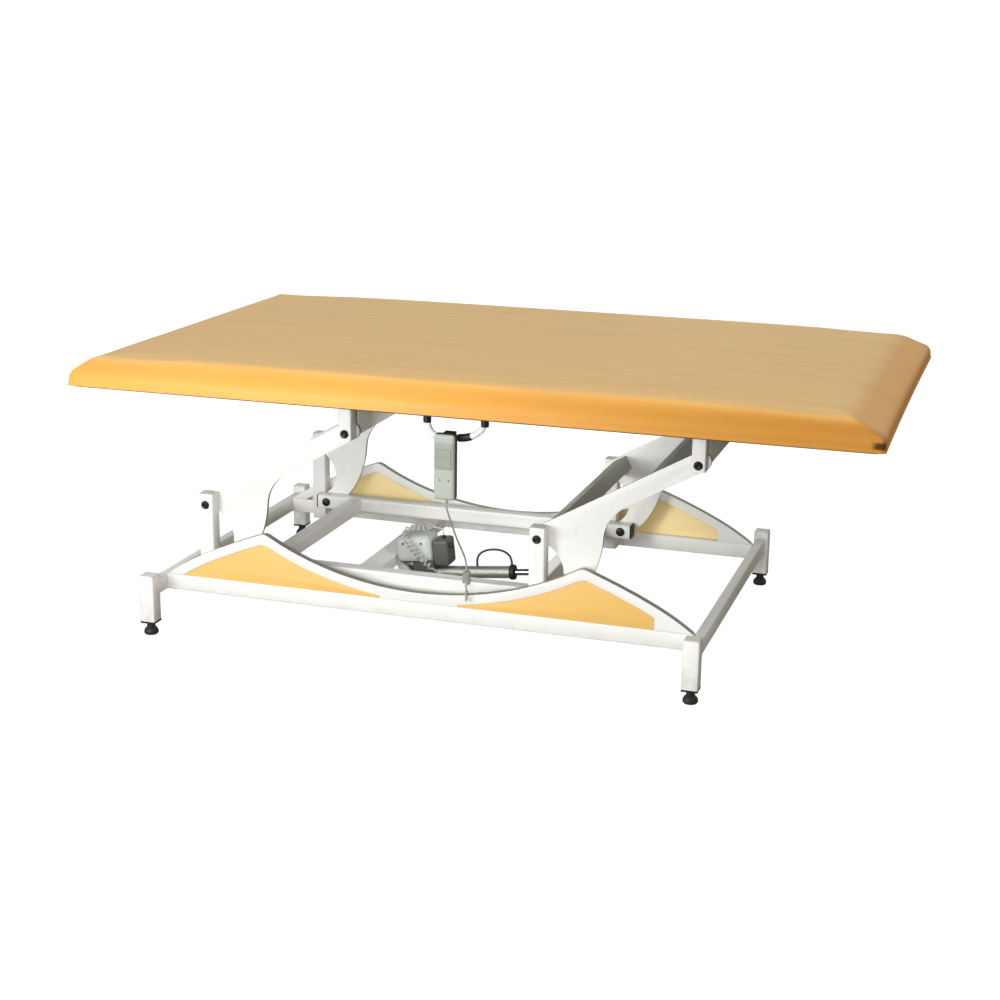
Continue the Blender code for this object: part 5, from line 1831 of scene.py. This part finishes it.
@dataclass
class Handset:
    """The handset, its buttons and the loop that it hangs on."""

    loop_ends: tuple[float, float] = (-0.070, 0.074)
    loop_y: float = -0.540
    loop_bottom: float = 0.6137
    loop_radius: float = 0.008
    loop_gap: float = 0.0002
    ferrule_height: float = 0.026
    ferrule_wall: float = 0.0017
    ferrule_edge: float = 0.001
    ferrule_taper: float = 0.0008
    ferrule_steps: int = 28
    flat_right: float = 0.006
    sleeve_radius: float = 0.0096
    sleeve_from: float = 0.03
    sleeve_run: float = 0.30
    sleeve_rings: int = 10
    bend_drop: float = 0.010
    bend_run: float = 0.038
    bend_rise: float = 0.020
    boot_top: float = 0.4679
    boot: Triple = (0.0120, 0.0044, 0.0030)
    screws_x: tuple[float, float] = (-0.024, -0.002)
    screw_y: float = -0.5804
    screw_z: float = 0.517
    screw_steps: int = 20
    screw: Profile = (
        (0.0, 0.0010), (0.0008, 0.0010), (0.0010, 0.0004), (0.0019, 0.0), (0.0023, 0.0004), (0.0023, 0.0020)
    )

    def ferrule(self, end: End, x: float) -> None:
        """A black sleeve round one upper end of the loop.

        Args:
            end: Which end of the loop.
            x: Its place along the table.
        """
        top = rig.box("handset_loop")[1].z
        inner, outer = self.loop_radius + self.loop_gap, self.loop_radius + self.ferrule_wall
        low = -self.ferrule_height
        profile = (
            (inner, 0.0), (outer, 0.0), (outer, low + self.ferrule_edge),
            (outer - self.ferrule_taper, low), (inner, low), (inner, 0.0),
        )
        place = Matrix.Translation((x, self.loop_y, top))
        sleeve = turned(profile, self.ferrule_steps)
        fitted(f"loop_ferrule_{end}", sleeve, place, Body.TOP, BLACK_STEEL)

    def sleeve(self) -> None:
        """A black sleeve on the loop's bend, beside the handset."""
        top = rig.box("handset_loop")[1].z - self.bend_drop
        low, right = self.loop_bottom, self.loop_ends[1]
        left = self.flat_right
        bend = ((left, low), (left + self.bend_run, low), (right, low + self.bend_rise), (right, top))
        line = [Vector((x, self.loop_y, z)) for x, z in bend]
        last = self.sleeve_rings - 1
        spots = [self.sleeve_from + self.sleeve_run * i / last for i in range(self.sleeve_rings)]
        mouth = self.loop_radius + self.loop_gap
        sizes = [mouth, *[self.sleeve_radius] * self.sleeve_rings, mouth]
        bm = bmesh.new()
        rings = []
        for t, size in zip([spots[0], *spots, spots[-1]], sizes):
            place, heading = bezier(line, t)
            stance = Matrix.Translation(place) @ heading.to_track_quat("Z", "Y").to_matrix().to_4x4()
            ring = bmesh.ops.create_circle(bm, segments=24, radius=size, matrix=stance)["verts"]
            rings.append([e for e in bm.edges if e.verts[0] in ring and e.verts[1] in ring])
        for first, second in zip(rings, rings[1:]):
            bmesh.ops.bridge_loops(bm, edges=first + second)
        settle(made_object("loop_sleeve", bm, BLACK_PLASTIC, angle=50.0), Body.TOP, BLACK_PLASTIC)

    def build(self) -> None:
        """Dress the handset, and add the loop's sleeves, the screws and the cord's boot."""
        dress("handset", HANDSET_GREY)
        dress("button_up", BUTTON_GREY)
        dress("button_down", BUTTON_GREY)
        dress("handset_loop", WHITE_PAINT)
        for end, x in zip(End, self.loop_ends):
            self.ferrule(end, x)
        self.sleeve()
        for end, x in zip(End, self.screws_x):
            place = Matrix.Translation((x, self.screw_y, self.screw_z)) @ Matrix.Rotation(-QUARTER, 4, "X")
            screw = turned(self.screw, self.screw_steps)
            fitted(f"handset_screw_{end}", screw, place, Body.HANDSET, BLACK_STEEL)
        boot = turned(boot_profile(*self.boot), ROUND_STEPS)
        place = Matrix.Translation((*Cords.exit_at, self.boot_top)) @ Matrix.Rotation(math.pi, 4, "X")
        fitted("cord_boot_handset", boot, place, Body.HANDSET, CORD_GREY)


def main() -> None:
    """Build the table's looks in order and note the frame's box and theirs."""
    logging.basicConfig(level=logging.INFO, format="%(message)s")
    for part in (Studio(), Cords(), PaddedTop(), BaseFrame(), Lift(), Actuator(), Handset(), Bolts()):
        LOG.info("building %s", type(part).__name__)
        part.build()
    boxes = {"cad": [list(c) for c in CAD_BOX], "visual": [list(c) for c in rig.bounds()]}
    with open(SIZE_FILE, "w") as out:
        json.dump(boxes, out)


if __name__ == "__main__":
    main()
